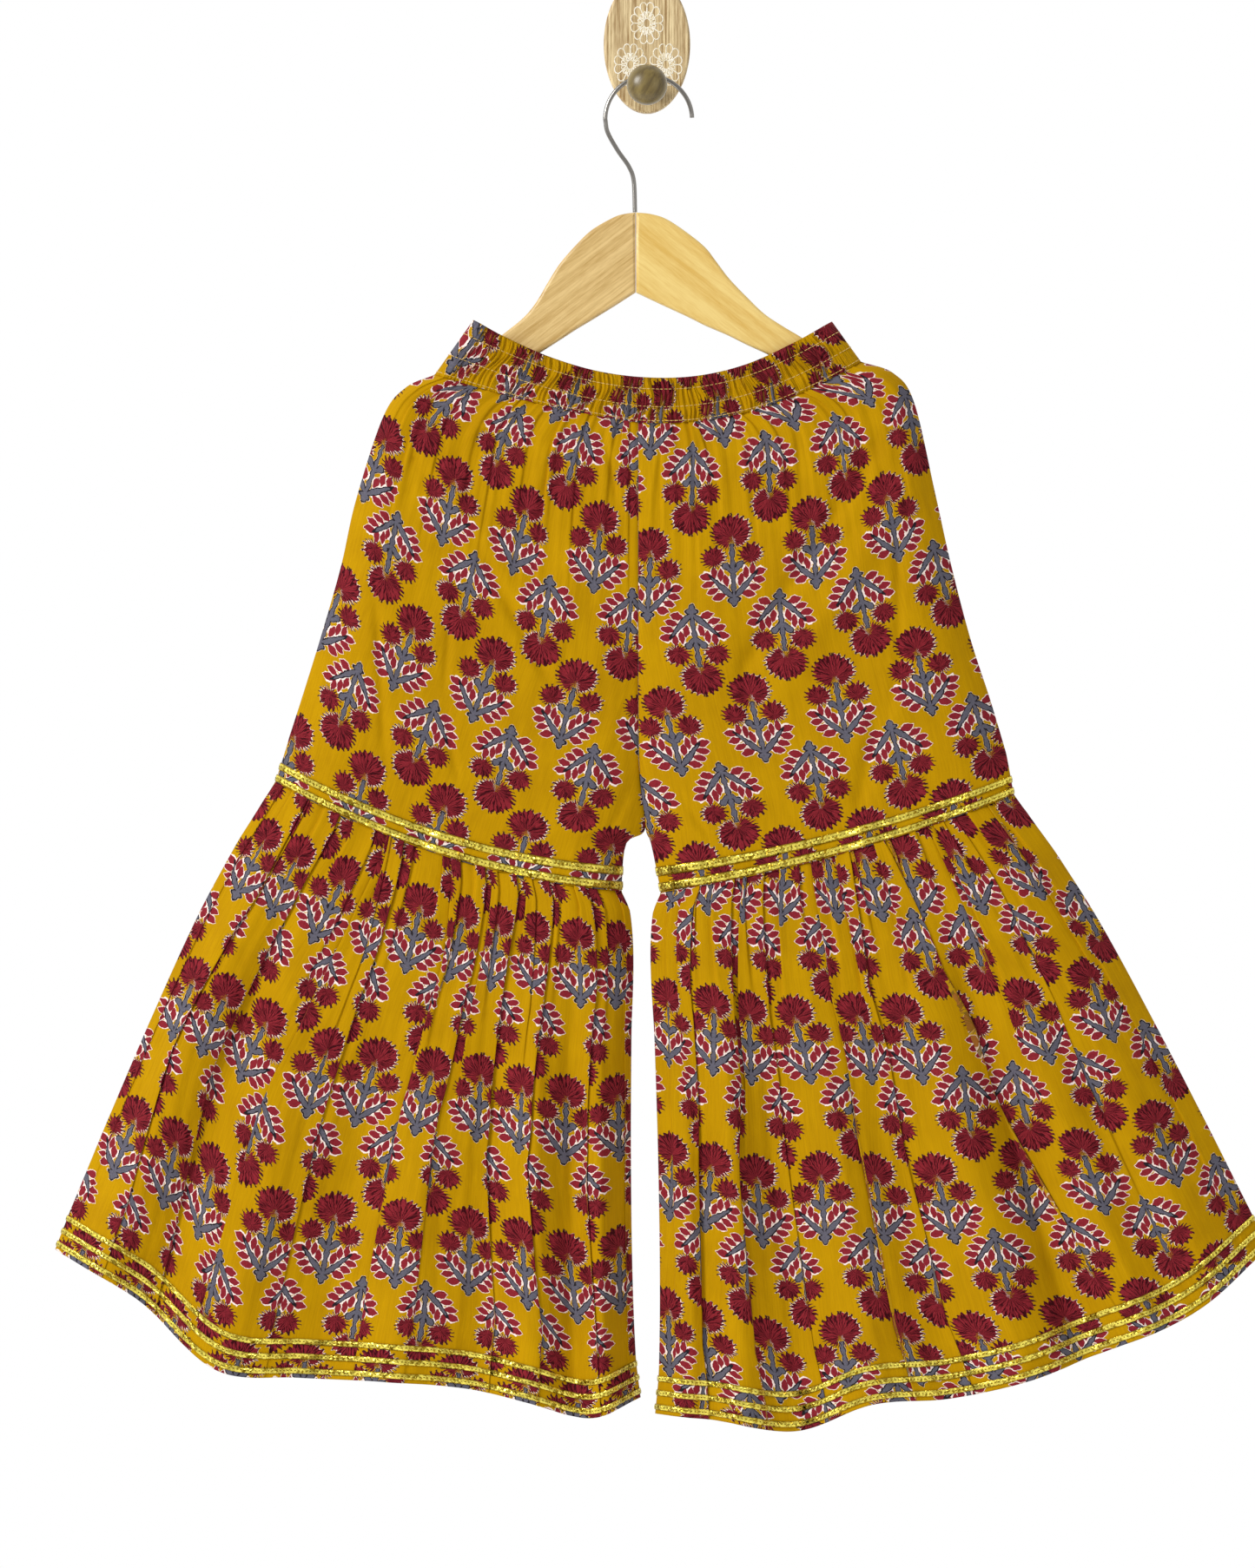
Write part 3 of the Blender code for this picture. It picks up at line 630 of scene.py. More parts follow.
def leg_line(leg, face, share, row):
    """Points across an upper leg, at one place between the rows of its table."""
    s = row_between(leg.sections, row)
    x = s.side_x + (s.seam_x + leg.hand * SEAM / 2 - s.side_x) * share
    z = s.side_z + (s.seam_z - s.side_z) * share - s.sag * 4 * share * (1 - share)
    from_side = share * abs(s.seam_x - s.side_x)
    from_seam = (1 - share) * abs(s.seam_x - s.side_x)
    joined = np.clip(s.joined, 0, 1)
    closed = pressed(from_side) * (joined + (1 - joined) * pressed(from_seam))
    at_seam = joined + (1 - joined) * rise(from_seam, s.rim)
    depth = FOLD_EDGE + (EDGE - FOLD_EDGE) * closed
    depth += (s.depth - EDGE) * rise(from_side, s.rim) * at_seam
    depth -= SEAM_FURROW * joined * np.exp(-((from_seam / SEAM_FURROW_WIDTH) ** 2))
    depth -= WAIST_FURROW * (1 - step_up(row, 0.0, WAIST_FURROW_ROWS))
    inside = step_up(from_side, *CREASES_FROM) * step_up(from_seam, *CREASES_FROM)
    for drape in LEG_DRAPES[leg.name, face]:
        depth += inside * ridge(x, z, drape)
    return np.stack([x, MIDDLE + face * depth, z], axis=-1)


def flounce_line(leg, face, share, down):
    """Points across a flounce, at a share of its height below the knee."""
    knots = [flare.down for flare in FLARES]
    flare = row_between(FLARES, np.interp(down, knots, range(len(knots))))
    top = leg_line(leg, face, share, KNEE_ROW)
    hem = row_between(leg.hem, share * (len(leg.hem) - 1))
    x = top[:, 0] + (hem.x - top[:, 0]) * down
    z = top[:, 2] - SEAM + (hem.z - top[:, 2] + SEAM) * down
    x += leg.hand * flare.side * (1 - share) ** 3
    x -= leg.hand * flare.inner * share**6
    knee_width = abs(leg.sections[-1].side_x - leg.sections[-1].seam_x)
    hem_width = abs(leg.hem[0].x - leg.hem[-1].x)
    width = hem_width * down + knee_width * (1 - down)
    from_side, from_inner = share * width, (1 - share) * width
    full = flare.front if face == FRONT else flare.back
    depth = FOLD_EDGE + (EDGE - FOLD_EDGE) * pressed(from_side) * pressed(from_inner)
    depth += (full - EDGE) * rise(from_side, flare.rim) * rise(from_inner, flare.rim)
    depth -= KNEE_FURROW * (1 - step_up(down, 0.0, KNEE_FURROW_SHARE))
    inside = step_up(from_side, *FLUTES_FROM) * step_up(from_inner, *FLUTES_FROM)
    for flute in FLUTES[leg.name, face]:
        grown = step_up(down, flute.begins, flute.begins + FLUTE_GROWTH)
        wave = flute.height * np.exp(-(((share - flute.place) / flute.width) ** 2))
        depth += inside * grown * wave
    return np.stack([x, MIDDLE + face * depth, z], axis=-1)


def swollen(down):
    """How far the waist casing swells between its seams, from 0 at a seam to 1."""
    stops = (0.0, *CASING_SEAMS, 1.0)
    return abs(math.sin(math.pi * np.interp(down, stops, range(len(stops)))))


def casing_line(face, share, down):
    """Points across the waist casing, at a share of its height below its upper edge."""
    left, right = LEGS
    half = share <= 0.5
    bottom = np.where(
        half[:, None],
        leg_line(left, face, np.clip(2 * share, 0, 1), 0),
        leg_line(right, face, np.clip(2 - 2 * share, 0, 1), 0),
    )
    top = row_between(CASING_TOP, share * (len(CASING_TOP) - 1))
    x = top.x + (bottom[:, 0] - top.x) * down
    z = top.z + (bottom[:, 2] + SEAM - top.z) * down
    width = abs(bottom[-1, 0] - bottom[0, 0])
    from_left, from_right = share * width, (1 - share) * width
    depth = FOLD_EDGE + (CASING_EDGE - FOLD_EDGE) * pressed(from_left) * pressed(from_right)
    depth += (CASING_DEPTH - CASING_EDGE) * rise(from_left, CASING_RIM) * rise(from_right, CASING_RIM)
    inside = step_up(from_left, *CREASES_FROM) * step_up(from_right, *CREASES_FROM)
    depth += inside * CASING_PUFF * swollen(down) ** 0.7
    if face == FRONT:
        depth += ridge(x, z, CASING_CREASE)
    turned_in = np.clip(1 - down * CASING_HEIGHT / CASING_TURN, 0, 1)
    depth -= CASING_TURN_DEPTH * (1 - math.sqrt(1 - turned_in**2))
    return np.stack([x, MIDDLE + face * depth, z], axis=-1)


Gather = namedtuple("Gather", "place turn weight ends")


def small_folds(count, seed, flat, shortest, longest):
    """Gathers across flat cloth, each with a place, weight and length of its own."""
    places = (np.arange(count) + 0.5 + 0.5 * (uneven(count, seed) - 0.5)) / count
    lengths = shortest + (longest - shortest) * uneven(count, seed + 3.4) ** 1.4
    weights = 0.4 + uneven(count, seed + 7.7)
    turns = np.where(uneven(count, seed + 5.1) < 0.5, -1, 1)
    rows = zip(flat * (END_MARGIN + (1 - 2 * END_MARGIN) * places), turns, weights, lengths)
    return [Gather(*row) for row in rows]


def weights_at(gathers, share):
    """Weights of gathers at a share of the height, as each runs out towards its own end."""
    return np.array([g.weight * (1 - step_up(share, g.ends - GATHER_FADES, g.ends)) for g in gathers])


def laid_in_folds(cloth, places, turns, hidden, least):
    """Flat cloth laid in folds: how far along each place comes to lie, and how far out.

    A fold draws the cloth back by the width that it hides. Its three layers keep their order, so
    the outer one stays raised, and the inner one sunk, for as far as they lie over each other.
    """
    along = cloth.copy()
    out = np.zeros_like(along)
    for place, turn, width in zip(places, turns, hidden):
        half = max(width / STEEPEST, least)
        ratio = width / half
        t = (cloth - place + FOLD_LIES * turn * width) / half
        along = along - width * 0.5 * (1 + np.tanh(FOLD_TURNS * t))
        steep = math.sqrt(1 - min(abs(1 - FOLD_TURNS / 2 * ratio), LAYER_LIES) ** 2)
        out -= turn * half * steep / BUMP_SLOPE * t * np.exp((1 - t**2) / 2)
    return along, out


def bulk_at(down, bulk, settles):
    """How much of its height a laid fold keeps at a share of its piece's height."""
    for settle in settles:
        bulk -= settle.loss * step_up(down, settle.begins, settle.ends)
    return bulk


def gathered(line, face, cloth, spare_to_folds, least, bulk):
    """One row of cloth on a line of the garment, its spare width laid in folds.

    Cloth is places in millimetres of flat cloth, and spare_to_folds shares out the width that the
    line has no room for.
    """
    shares = np.linspace(0, 1, LINE_STEPS + 1)
    run = run_along(line(shares)[:, (0, 2)])
    flat = cloth[-1]
    places, turns, hidden = spare_to_folds(max(flat - run[-1], 0))
    along, out = laid_in_folds(cloth, places, turns, hidden, least)
    along = (along - along[0]) * run[-1] / (along[-1] - along[0])
    points = line(np.interp(along, run, shares))
    ends = step_up(cloth, *FOLDS_FROM) * step_up(flat - cloth, *FOLDS_FROM)
    points[:, 1] += face * bulk * ends * out
    return points


def columns_near(places, flat, count, reach):
    """Places across flat cloth, closer together at folds and at both sides."""
    fine = np.linspace(0, flat, FLAT_STEPS + 1)
    density = np.ones_like(fine)
    for place in places:
        density += CLOSER_AT_FOLDS * np.exp(-(((fine - place) / reach) ** 2))
    for side in (0, flat):
        density += CLOSER_AT_SIDES * np.exp(-(((fine - side) / SIDE_STRIP) ** 2))
    total = np.concatenate([[0], np.cumsum((density[1:] + density[:-1]) / 2)])
    return np.interp(np.linspace(0, 1, count + 1), total / total[-1], fine)


# A laid piece: its rows of points, and where on the printed cloth each of them is
Laid = namedtuple("Laid", "points print_at")


def tucked(above, ribbons):
    """How far the print has moved at a height above an edge, by the cloth under the ribbons above."""
    return -TUCK * sum(above < middle for middle in ribbons.values())


def print_moved(start, share, away):
    """How far a print has moved to the right and down, at shares of its piece's width.

    Away is the distance from the knee, as a share of the whole.
    """
    right = start.near + (start.far - start.near) * step_up(away, start.begins, PULL_ENDS)
    right = right * np.minimum(1, SIDE_PULL + PULL_GROWS * share)
    return right, (start.slant + start.sinks * away) * share


def leg_gathers(leg, face):
    """Gathers below the waist casing, a few of them much deeper than the others."""
    seed = 2.0 * leg.hand + face + 4
    gathers = small_folds(LEG_GATHERS, seed, WAIST_FLAT, *LEG_GATHERS_END)
    return [gather._replace(weight=gather.weight**2.2) for gather in gathers]


def leg_flat(leg, face, row):
    """How wide an upper leg's cloth is at a row when flat."""
    seen = leg_line(leg, face, np.linspace(0, 1, WIDTH_STEPS + 1), row)[:, (0, 2)]
    return max(run_along(seen)[-1], WAIST_FLAT)


def leg_row(leg, face, cloth, row):
    """One row of an upper leg, whose cloth is given as shares of its width."""
    gathers = leg_gathers(leg, face)
    flat = leg_flat(leg, face, row)
    drop = (LEFT_LEG[0].seam_z - row_between(LEFT_LEG, row).seam_z) / LEG_LENGTH
    places = np.array([gather.place for gather in gathers]) * flat / WAIST_FLAT
    weights = weights_at(gathers, drop) + 0.02
    turns = [gather.turn for gather in gathers]
    shared = lambda spare: (places, turns, spare * weights / weights.sum())
    line = lambda share: leg_line(leg, face, share, row)
    bulk = bulk_at(drop, LEG_BULK, LEG_SETTLES)
    return gathered(line, face, cloth * flat, shared, LEAST_LEG_FOLD, bulk)


def leg_cloth(leg, face):
    """Places across an upper leg's cloth, as shares of its width."""
    places = [gather.place * LEG_FLAT / WAIST_FLAT for gather in leg_gathers(leg, face)]
    return columns_near(places, LEG_FLAT, LEG_COLUMNS, 4) / LEG_FLAT


def leg_rows_down(face):
    """Places down an upper leg, with a close pair under each ribbon."""
    body = np.linspace(LEG_BEGINS, KNEE_ROW - LEG_BODY_ENDS, LEG_BODY_ROWS[face])
    edges = sorted(middle + off for middle in KNEE_RIBBONS.values() for off in UNDER_KNEE_RIBBON)
    strip = [KNEE_ROW - above / LAST_ROW for above in reversed(edges)]
    return [*body, *strip, KNEE_ROW]


def lay_leg(leg, face):
    """An upper leg's cloth, and the print on it, which lies square to the knee seam."""
    cloth = leg_cloth(leg, face)
    lean = math.radians(leg.lean)
    grain = np.array([math.sin(lean), math.cos(lean)])
    knee = leg_row(leg, face, cloth, KNEE_ROW)
    start = LEG_PRINT[leg.name, face]
    points, print_at = [], []
    for row in leg_rows_down(face):
        laid = leg_row(leg, face, cloth, row)
        above = (laid - knee)[:, (0, 2)] @ grain
        shift = tucked((KNEE_ROW - row) * LAST_ROW, KNEE_RIBBONS)
        points.append(laid)
        right, lower = print_moved(start, cloth, max(1 - row / KNEE_ROW, 0))
        across = face * leg.hand * cloth * leg_flat(leg, face, row) + start.across - right
        print_at.append(np.stack([across, above + shift + start.up + lower], axis=-1))
    return Laid(np.array(points), np.array(print_at))


def flounce_gathers(leg, face):
    """Small gathers, one or two between each pair of main folds."""
    main = FLOUNCE_FOLDS[leg.name, face]
    middles = []
    for one, other in zip(main, main[1:]):
        start = one.place - FOLD_LIES * one.turn * one.upper + 0.5 * one.upper
        end = other.place - FOLD_LIES * other.turn * other.upper - 0.5 * other.upper
        count = 2 if other.place - one.place > TWO_GATHERS else 1
        middles += [start + (end - start) * (k + 0.5) / count for k in range(count)]
    seed = 3.0 * leg.hand + face + 9
    small = small_folds(len(middles), seed, 1, *FLOUNCE_GATHERS_END)
    return [gather._replace(place=middle) for gather, middle in zip(small, middles)]


def flounce_row(leg, face, cloth, down):
    """One row of a flounce. Its main folds take their own widths, and small ones take the rest."""
    main = FLOUNCE_FOLDS[leg.name, face]
    small = flounce_gathers(leg, face)
    level = min(max(down, 0), 0.97)
    wide = np.array([np.interp(level, FOLD_LEVELS, fold[3:]) for fold in main])
    weights = weights_at(small, level)
    places = np.array([f.place + f.drift * level for f in main] + [g.place for g in small])
    turns = [f.turn for f in main] + [g.turn for g in small]

    def shared(spare):
        left = max(spare - wide.sum(), 0)
        gathers = min(left / max(weights.sum(), 0.01), WIDEST_GATHER) * weights
        return places, turns, np.concatenate([wide * (spare - gathers.sum()) / wide.sum(), gathers])

    line = lambda share: flounce_line(leg, face, share, down)
    bulk = bulk_at(down, FLOUNCE_BULK, FLOUNCE_SETTLES)
    return gathered(line, face, cloth, shared, LEAST_FOLD, bulk)


def flounce_cloth(leg, face):
    """Places across a flounce's cloth."""
    places = [f.place for f in (*FLOUNCE_FOLDS[leg.name, face], *flounce_gathers(leg, face))]
    return columns_near(places, FLOUNCE_FLAT[leg.name, face], FLOUNCE_COLUMNS[face], 7)


def flounce_rows_down():
    """Places down a flounce, with a close pair under each ribbon."""
    above_hem = [middle + off for middle in HEM_RIBBONS.values() for off in UNDER_HEM_RIBBON]
    zone = sorted(1 - above / FLOUNCE_LENGTH for above in (*above_hem, *HEM_ROWS))
    reach = zone[0] - FLOUNCE_BODY_ENDS - FLOUNCE_BEGINS
    body = FLOUNCE_BEGINS + reach * np.linspace(0, 1, FLOUNCE_BODY_ROWS) ** 1.15
    return [*body, *zone]


def lay_flounce(leg, face):
    """A flounce's cloth, and the print on it, which keeps to the cloth as it goes into the folds."""
    cloth = flounce_cloth(leg, face)
    start = FLOUNCE_PRINT[leg.name, face]
    across = face * leg.hand * cloth + start.across
    share = cloth / cloth[-1]
    points, print_at = [], []
    for down in flounce_rows_down():
        points.append(flounce_row(leg, face, cloth, down))
        shift = tucked((1 - down) * FLOUNCE_LENGTH, HEM_RIBBONS)
        right, slanted = print_moved(start._replace(sinks=0), share, down)
        up = start.up + slanted + start.sinks * down - down * FLOUNCE_LENGTH + shift
        print_at.append(np.stack([across - right, up], axis=-1))
    return Laid(np.array(points), np.array(print_at))


def casing_row(face, cloth, down):
    """One row of the waist casing, drawn up by the elastic in close uneven tucks."""
    tucks = small_folds(CASING_TUCKS, 1.3 * face + 6, cloth[-1], 1, 2)
    places = np.array([tuck.place for tuck in tucks])
    weights = np.array([tuck.weight for tuck in tucks]) ** 0.6
    weights = weights * (1 + 0.25 * np.sin(7 * down + 0.11 * places))
    turns = [tuck.turn for tuck in tucks]
    shared = lambda spare: (places, turns, spare * weights / weights.sum())
    line = lambda share: casing_line(face, share, down)
    bulk = CASING_BULK + CASING_SWELLS * swollen(down)
    return gathered(line, face, cloth, shared, LEAST_TUCK, bulk)


def casing_rows_down():
    """Places down the casing, a little closer at its upper edge."""
    return np.linspace(0, 1, CASING_ROWS) ** 1.1


def lay_casing(face, legs_laid):
    """The casing's print goes on from that of the legs below it."""
    halves = [leg_flat(leg, face, 0) for leg in LEGS]
    cloth = columns_near([], sum(halves), CASING_COLUMNS[face], 1.5)
    points, print_at = [], []
    for down in casing_rows_down():
        points.append(casing_row(face, cloth, down))
        rows = []
        for leg, half, reach in zip(LEGS, halves, (cloth, cloth[-1] - cloth)):
            top = legs_laid[leg.name].print_at[1]
            shares = leg_cloth(leg, face)
            along, above_knee = (np.interp(reach / half, shares, top[:, k]) for k in range(2))
            up = above_knee + CASING_TAKEN_IN + (1 - down) * CASING_HEIGHT
            rows.append(np.stack([along, up], axis=-1))
        print_at.append(np.where((cloth <= halves[0])[:, None], *rows))
    return Laid(np.array(points), np.array(print_at))


def outward(points, facing):
    """Unit directions out of a sheet of points, on the side that faces the viewer or the wall."""
    across = np.gradient(points, axis=1)
    along = np.gradient(points, axis=0)
    normal = np.cross(across, along)
    normal /= np.linalg.norm(normal, axis=2)[..., None]
    return normal * np.sign(normal[..., 1].sum() * facing)


def placed(name, data):
    """A new object in the scene."""
    thing = bpy.data.objects.new(name, data)
    bpy.context.scene.collection.objects.link(thing)
    return thing


def mesh_of(name, shape):
    """A mesh of a shape that is done with."""
    mesh = bpy.data.meshes.new(name)
    shape.to_mesh(mesh)
    shape.free()
    return mesh


def new_curve(name, radius, resolution, material, dimensions="3D", capped=False):
    """A curve without paths yet, which will be as thick as a line of this radius."""
    curve = bpy.data.curves.new(name, "CURVE")
    curve.dimensions = dimensions
    curve.bevel_depth = radius * MM
    curve.bevel_resolution = resolution
    curve.use_fill_caps = capped
    curve.materials.append(material)
    return curve


def add_path(curve, points, closed=False):
    """A path of a curve through points."""
    spline = curve.splines.new("POLY")
    spline.points.add(len(points) - 1)
    places = np.concatenate([points * MM, np.ones((len(points), 1))], axis=1)
    spline.points.foreach_set("co", places.ravel())
    spline.use_cyclic_u = closed
    spline.use_smooth = True


def sheet_object(name, laid, facing, thickness, outwards, materials):
    """A thin closed sheet through rows of points, with its places on the cloth kept beside them."""
    rows, columns = laid.points.shape[:2]
    grid = bmesh.new()
    bmesh.ops.create_grid(grid, x_segments=columns - 1, y_segments=rows - 1, size=1)
    mesh = mesh_of(name, grid)
    mesh.vertices.foreach_set("co", (laid.points * MM).ravel())
    corners = np.empty(len(mesh.loops), np.int32)
    mesh.loops.foreach_get("vertex_index", corners)
    flat_map = mesh.uv_layers.new(name="Cloth")
    flat_map.uv.foreach_set("vector", (laid.print_at.reshape(-1, 2)[corners] * MM).ravel())
    mesh.update()
    normals = np.empty(len(mesh.polygons) * 3, np.float32)
    mesh.polygons.foreach_get("normal", normals)
    if normals.reshape(-1, 3)[:, 1].sum() * facing < 0:
        mesh.flip_normals()
    mesh.shade_smooth()
    for material in materials:
        mesh.materials.append(material)
    piece = placed(name, mesh)
    wall = piece.modifiers.new("Thickness", "SOLIDIFY")
    wall.thickness = thickness * MM
    wall.offset = 1 if outwards else -1
    wall.material_offset = len(materials) - 1
    return piece


def carried(piece, slot, *nodes):
    """Hangs a piece with the garment, in place of the solids that it stands for."""
    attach(piece, BODY)
    if nodes:
        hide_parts(*nodes)
    return piece


def hex_colour(value):
    """An sRGB hex value as linear red, green, blue and alpha."""
    parts = [int(value[k : k + 2], 16) / 255 for k in (1, 3, 5)]
    linear = [p / 12.92 if p <= 0.04045 else ((p + 0.055) / 1.055) ** 2.4 for p in parts]
    return (*linear, 1)


def put(tree, kind, inputs=(), out=0, **settings):
    """Adds one shader node, sets it up, links or sets its inputs, and gives one of its outputs."""
    made = tree.nodes.new("ShaderNode" + kind)
    for name, value in settings.items():
        setattr(made, name, value)
    pairs = inputs.items() if isinstance(inputs, dict) else enumerate(inputs)
    for key, value in pairs:
        if isinstance(value, bpy.types.NodeSocket):
            tree.links.new(value, made.inputs[key])
        else:
            made.inputs[key].default_value = value
    return made.outputs[out]


def new_material(name, **constants):
    """A material with one Principled shader, whose constant sockets are set directly."""
    material = bpy.data.materials.new(name)
    material.use_nodes = True
    shader = material.node_tree.nodes["Principled BSDF"]
    for socket, value in constants.items():
        shader.inputs[socket.replace("_", " ")].default_value = value
    return material, material.node_tree, shader


def seen_from(tree, mark, half):
    """A place as it lies from a mark's middle, where the mark reaches 1 along and across it."""
    turn = (0, 0, math.radians(mark.turn))
    where = (half, (mark.x, mark.y, 0), turn, (mark.length, mark.width, 1))
    return put(tree, "Mapping", where, vector_type="TEXTURE")


def nearest(tree, marks, half, shape):
    """Distance in millimetres to the nearest of some marks of a sprig, negative inside it."""
    best = None
    for mark in marks:
        seen = seen_from(tree, mark, half)
        if shape == "pointed":
            axes = put(tree, "SeparateXYZ", (seen,)).node.outputs
            wide = put(tree, "Math", (axes[1],), operation="ABSOLUTE")
            reach = put(tree, "Math", (axes[0], axes[0], wide), operation="MULTIPLY_ADD")
        else:
            reach = put(tree, "VectorMath", (seen,), out=1, operation="LENGTH")
        away = put(tree, "Math", (reach, mark.width, -mark.width), operation="MULTIPLY_ADD")
        best = away if best is None else put(tree, "Math", (best, away), operation="MINIMUM")
    return best


def inked(tree, distance, outside, inside, *others):
    """1 within an inked edge and 0 beyond it, but only where the others are 1 as well."""
    places = (distance, outside, inside, 0.0, 1.0)
    ink = put(tree, "MapRange", places, interpolation_type="SMOOTHSTEP")
    for other in others:
        ink = put(tree, "Math", (ink, other), operation="MULTIPLY")
    return ink


def laid_over(tree, ground, *coats):
    """A ground colour with coats over it, each a pair: how thickly it covers, and its colour."""
    for cover, colour in coats:
        ground = put(tree, "Mix", {0: cover, 6: ground, 7: colour}, out=2, data_type="RGBA")
    return ground


def either_way(tree, chance, *reach):
    """A vector of chances from 0 to 1, spread to run as far below nought as above it."""
    wide, shift = [2 * side for side in reach], [-side for side in reach]
    return put(tree, "VectorMath", (chance, wide, shift), operation="MULTIPLY_ADD")


def apart(tree, value, place):
    """How far a value is from a place, whichever side it lies."""
    off = put(tree, "Math", (value, place), operation="SUBTRACT")
    return put(tree, "Math", (off,), operation="ABSOLUTE")


def give_relief(tree, shader, pattern, height):
    """Raises a surface's fine relief, which is this many millimetres high, from a pattern."""
    raised = put(tree, "Math", (pattern, height * MM), operation="MULTIPLY")
    relief = put(tree, "Bump", {"Strength": 1.0, "Distance": 1.0, "Height": raised})
    tree.links.new(relief, shader.inputs["Normal"])


def block_print():
    """The printed cloth's colours, from places on the cloth in metres.

    Each half-drop cell holds an upright marigold sprig, and the rows between hold turned ones. The
    nearer of the two is drawn, mirrored about its stem, with the slips of a block set down by hand.
    """
    tree = bpy.data.node_groups.new("Marigold block print", "ShaderNodeTree")
    tree.interface.new_socket("Cloth", in_out="INPUT", socket_type="NodeSocketVector")
    tree.interface.new_socket("Colour", in_out="OUTPUT", socket_type="NodeSocketColor")
    given = tree.nodes.new("NodeGroupInput").outputs[0]
    half_cell = (CELL[0] / 2, CELL[1] / 2, 0)
    other = (-half_cell[0], -half_cell[1], 0)
    place = put(tree, "VectorMath", (given, TO_MM), operation="MULTIPLY")

    # Which sprig is near, and where on it this place is
    upright = put(tree, "VectorMath", (place, half_cell, other), operation="WRAP")
    moved = put(tree, "VectorMath", (place, half_cell), operation="ADD")
    turned = put(tree, "VectorMath", (moved, half_cell, other), operation="WRAP")
    to_upright = put(tree, "VectorMath", (upright,), out=1, operation="LENGTH")
    to_turned = put(tree, "VectorMath", (turned,), out=1, operation="LENGTH")
    is_upright = put(tree, "Math", (to_upright, to_turned), operation="LESS_THAN")
    about = put(tree, "VectorMath", {0: turned, 3: -1.0}, operation="SCALE")
    local = put(tree, "Mix", {0: is_upright, 4: about, 5: upright}, out=1, data_type="VECTOR")
    offset = put(tree, "Mix", {0: is_upright, 4: turned, 5: upright}, out=1, data_type="VECTOR")
    centre = put(tree, "VectorMath", (place, offset), operation="SUBTRACT")
    apart_from = put(tree, "VectorMath", (centre, (0.37, 0.37, 0)), operation="ADD")
    number = put(tree, "VectorMath", (apart_from, (1, 1, 1)), operation="SNAP")
    chance = put(tree, "TexWhiteNoise", {0: number}, out=1)
    level = put(tree, "TexWhiteNoise", {0: number})

    # Slips of the block: moved, turned a little, and cut with uneven edges
    slip = either_way(tree, chance, BLOCK_SLIP, BLOCK_SLIP, 0)
    slipped = put(tree, "VectorMath", (local, slip), operation="ADD")
    lean = put(tree, "Math", (level, 2 * BLOCK_LEAN, -BLOCK_LEAN), operation="MULTIPLY_ADD")
    set_down = put(tree, "VectorRotate", {0: slipped, 3: lean}, rotation_type="Z_AXIS")
    cut = put(tree, "TexNoise", {"Vector": place, "Scale": 0.42, "Detail": 2.0}, out=1)
    rough = either_way(tree, cut, CUT_UNEVEN, CUT_UNEVEN, 0)
    drawn = put(tree, "VectorMath", (set_down, rough), operation="ADD")
    axes = put(tree, "SeparateXYZ", (drawn,)).node.outputs
    up = put(tree, "Math", (axes[0], 0.1, axes[1]), operation="MULTIPLY_ADD")
    beside = put(tree, "Math", (axes[0],), operation="ABSOLUTE")
    half = put(tree, "CombineXYZ", (beside, up, 0.0))

    buds = nearest(tree, BUDS, half, "pointed")
    stems = nearest(tree, STEMS, half, "round")
    wave = put(tree, "Math", (put(tree, "Math", (up, 0.9), operation="MULTIPLY"),), operation="SINE")
    trunk = put(tree, "Math", (wave, 0.35, beside), operation="MULTIPLY_ADD")
    trunk = put(tree, "Math", (trunk, TRUNK.width), operation="SUBTRACT")
    past_end = put(tree, "Math", (apart(tree, up, TRUNK.y), TRUNK.length), operation="SUBTRACT")
    trunk = put(tree, "Math", (trunk, past_end), operation="MAXIMUM")
    stems = put(tree, "Math", (stems, trunk), operation="MINIMUM")

    # Flower heads: fine strokes fan out from the stem, and the edge is as ragged as they are
    heads = []
    for mark in (HEAD, SIDE_HEAD):
        seen = seen_from(tree, mark, half)
        reach = put(tree, "VectorMath", (seen,), out=1, operation="LENGTH")
        away = put(tree, "Math", (reach, mark.width, -mark.width), operation="MULTIPLY_ADD")
        heads.append((seen, reach, away))
    (main, main_reach, main_away), (side, side_reach, side_away) = heads
    notch = nearest(tree, (NOTCH,), half, "round")
    notch = put(tree, "Math", (notch, -1.0), operation="MULTIPLY")
    main_away = put(tree, "Math", (main_away, notch), operation="MAXIMUM")
    on_main = put(tree, "Math", (main_away, side_away), operation="LESS_THAN")
    head = put(tree, "Mix", {0: on_main, 4: side, 5: main}, out=1, data_type="VECTOR")
    reach = put(tree, "Mix", {0: on_main, 2: side_reach, 3: main_reach}, data_type="FLOAT")
    away = put(tree, "Math", (main_away, side_away), operation="MINIMUM")
    from_stem = put(tree, "VectorMath", (head, (0, STROKES_FROM, 0)), operation="ADD")
    ray = put(tree, "VectorMath", (from_stem,), operation="NORMALIZE")
    hand = put(tree, "Math", (axes[0],), operation="SIGN")
    deep = put(tree, "Math", (reach, 0.9, hand), operation="MULTIPLY_ADD")
    fan = put(tree, "VectorMath", {0: ray, 3: 7.5}, operation="SCALE")
    inward = put(tree, "CombineXYZ", (level, 0.0, deep))
    spokes = put(tree, "VectorMath", (fan, inward), operation="ADD")
    stroke = put(tree, "TexNoise", {"Vector": spokes, "Scale": 1.25, "Detail": 1.0})
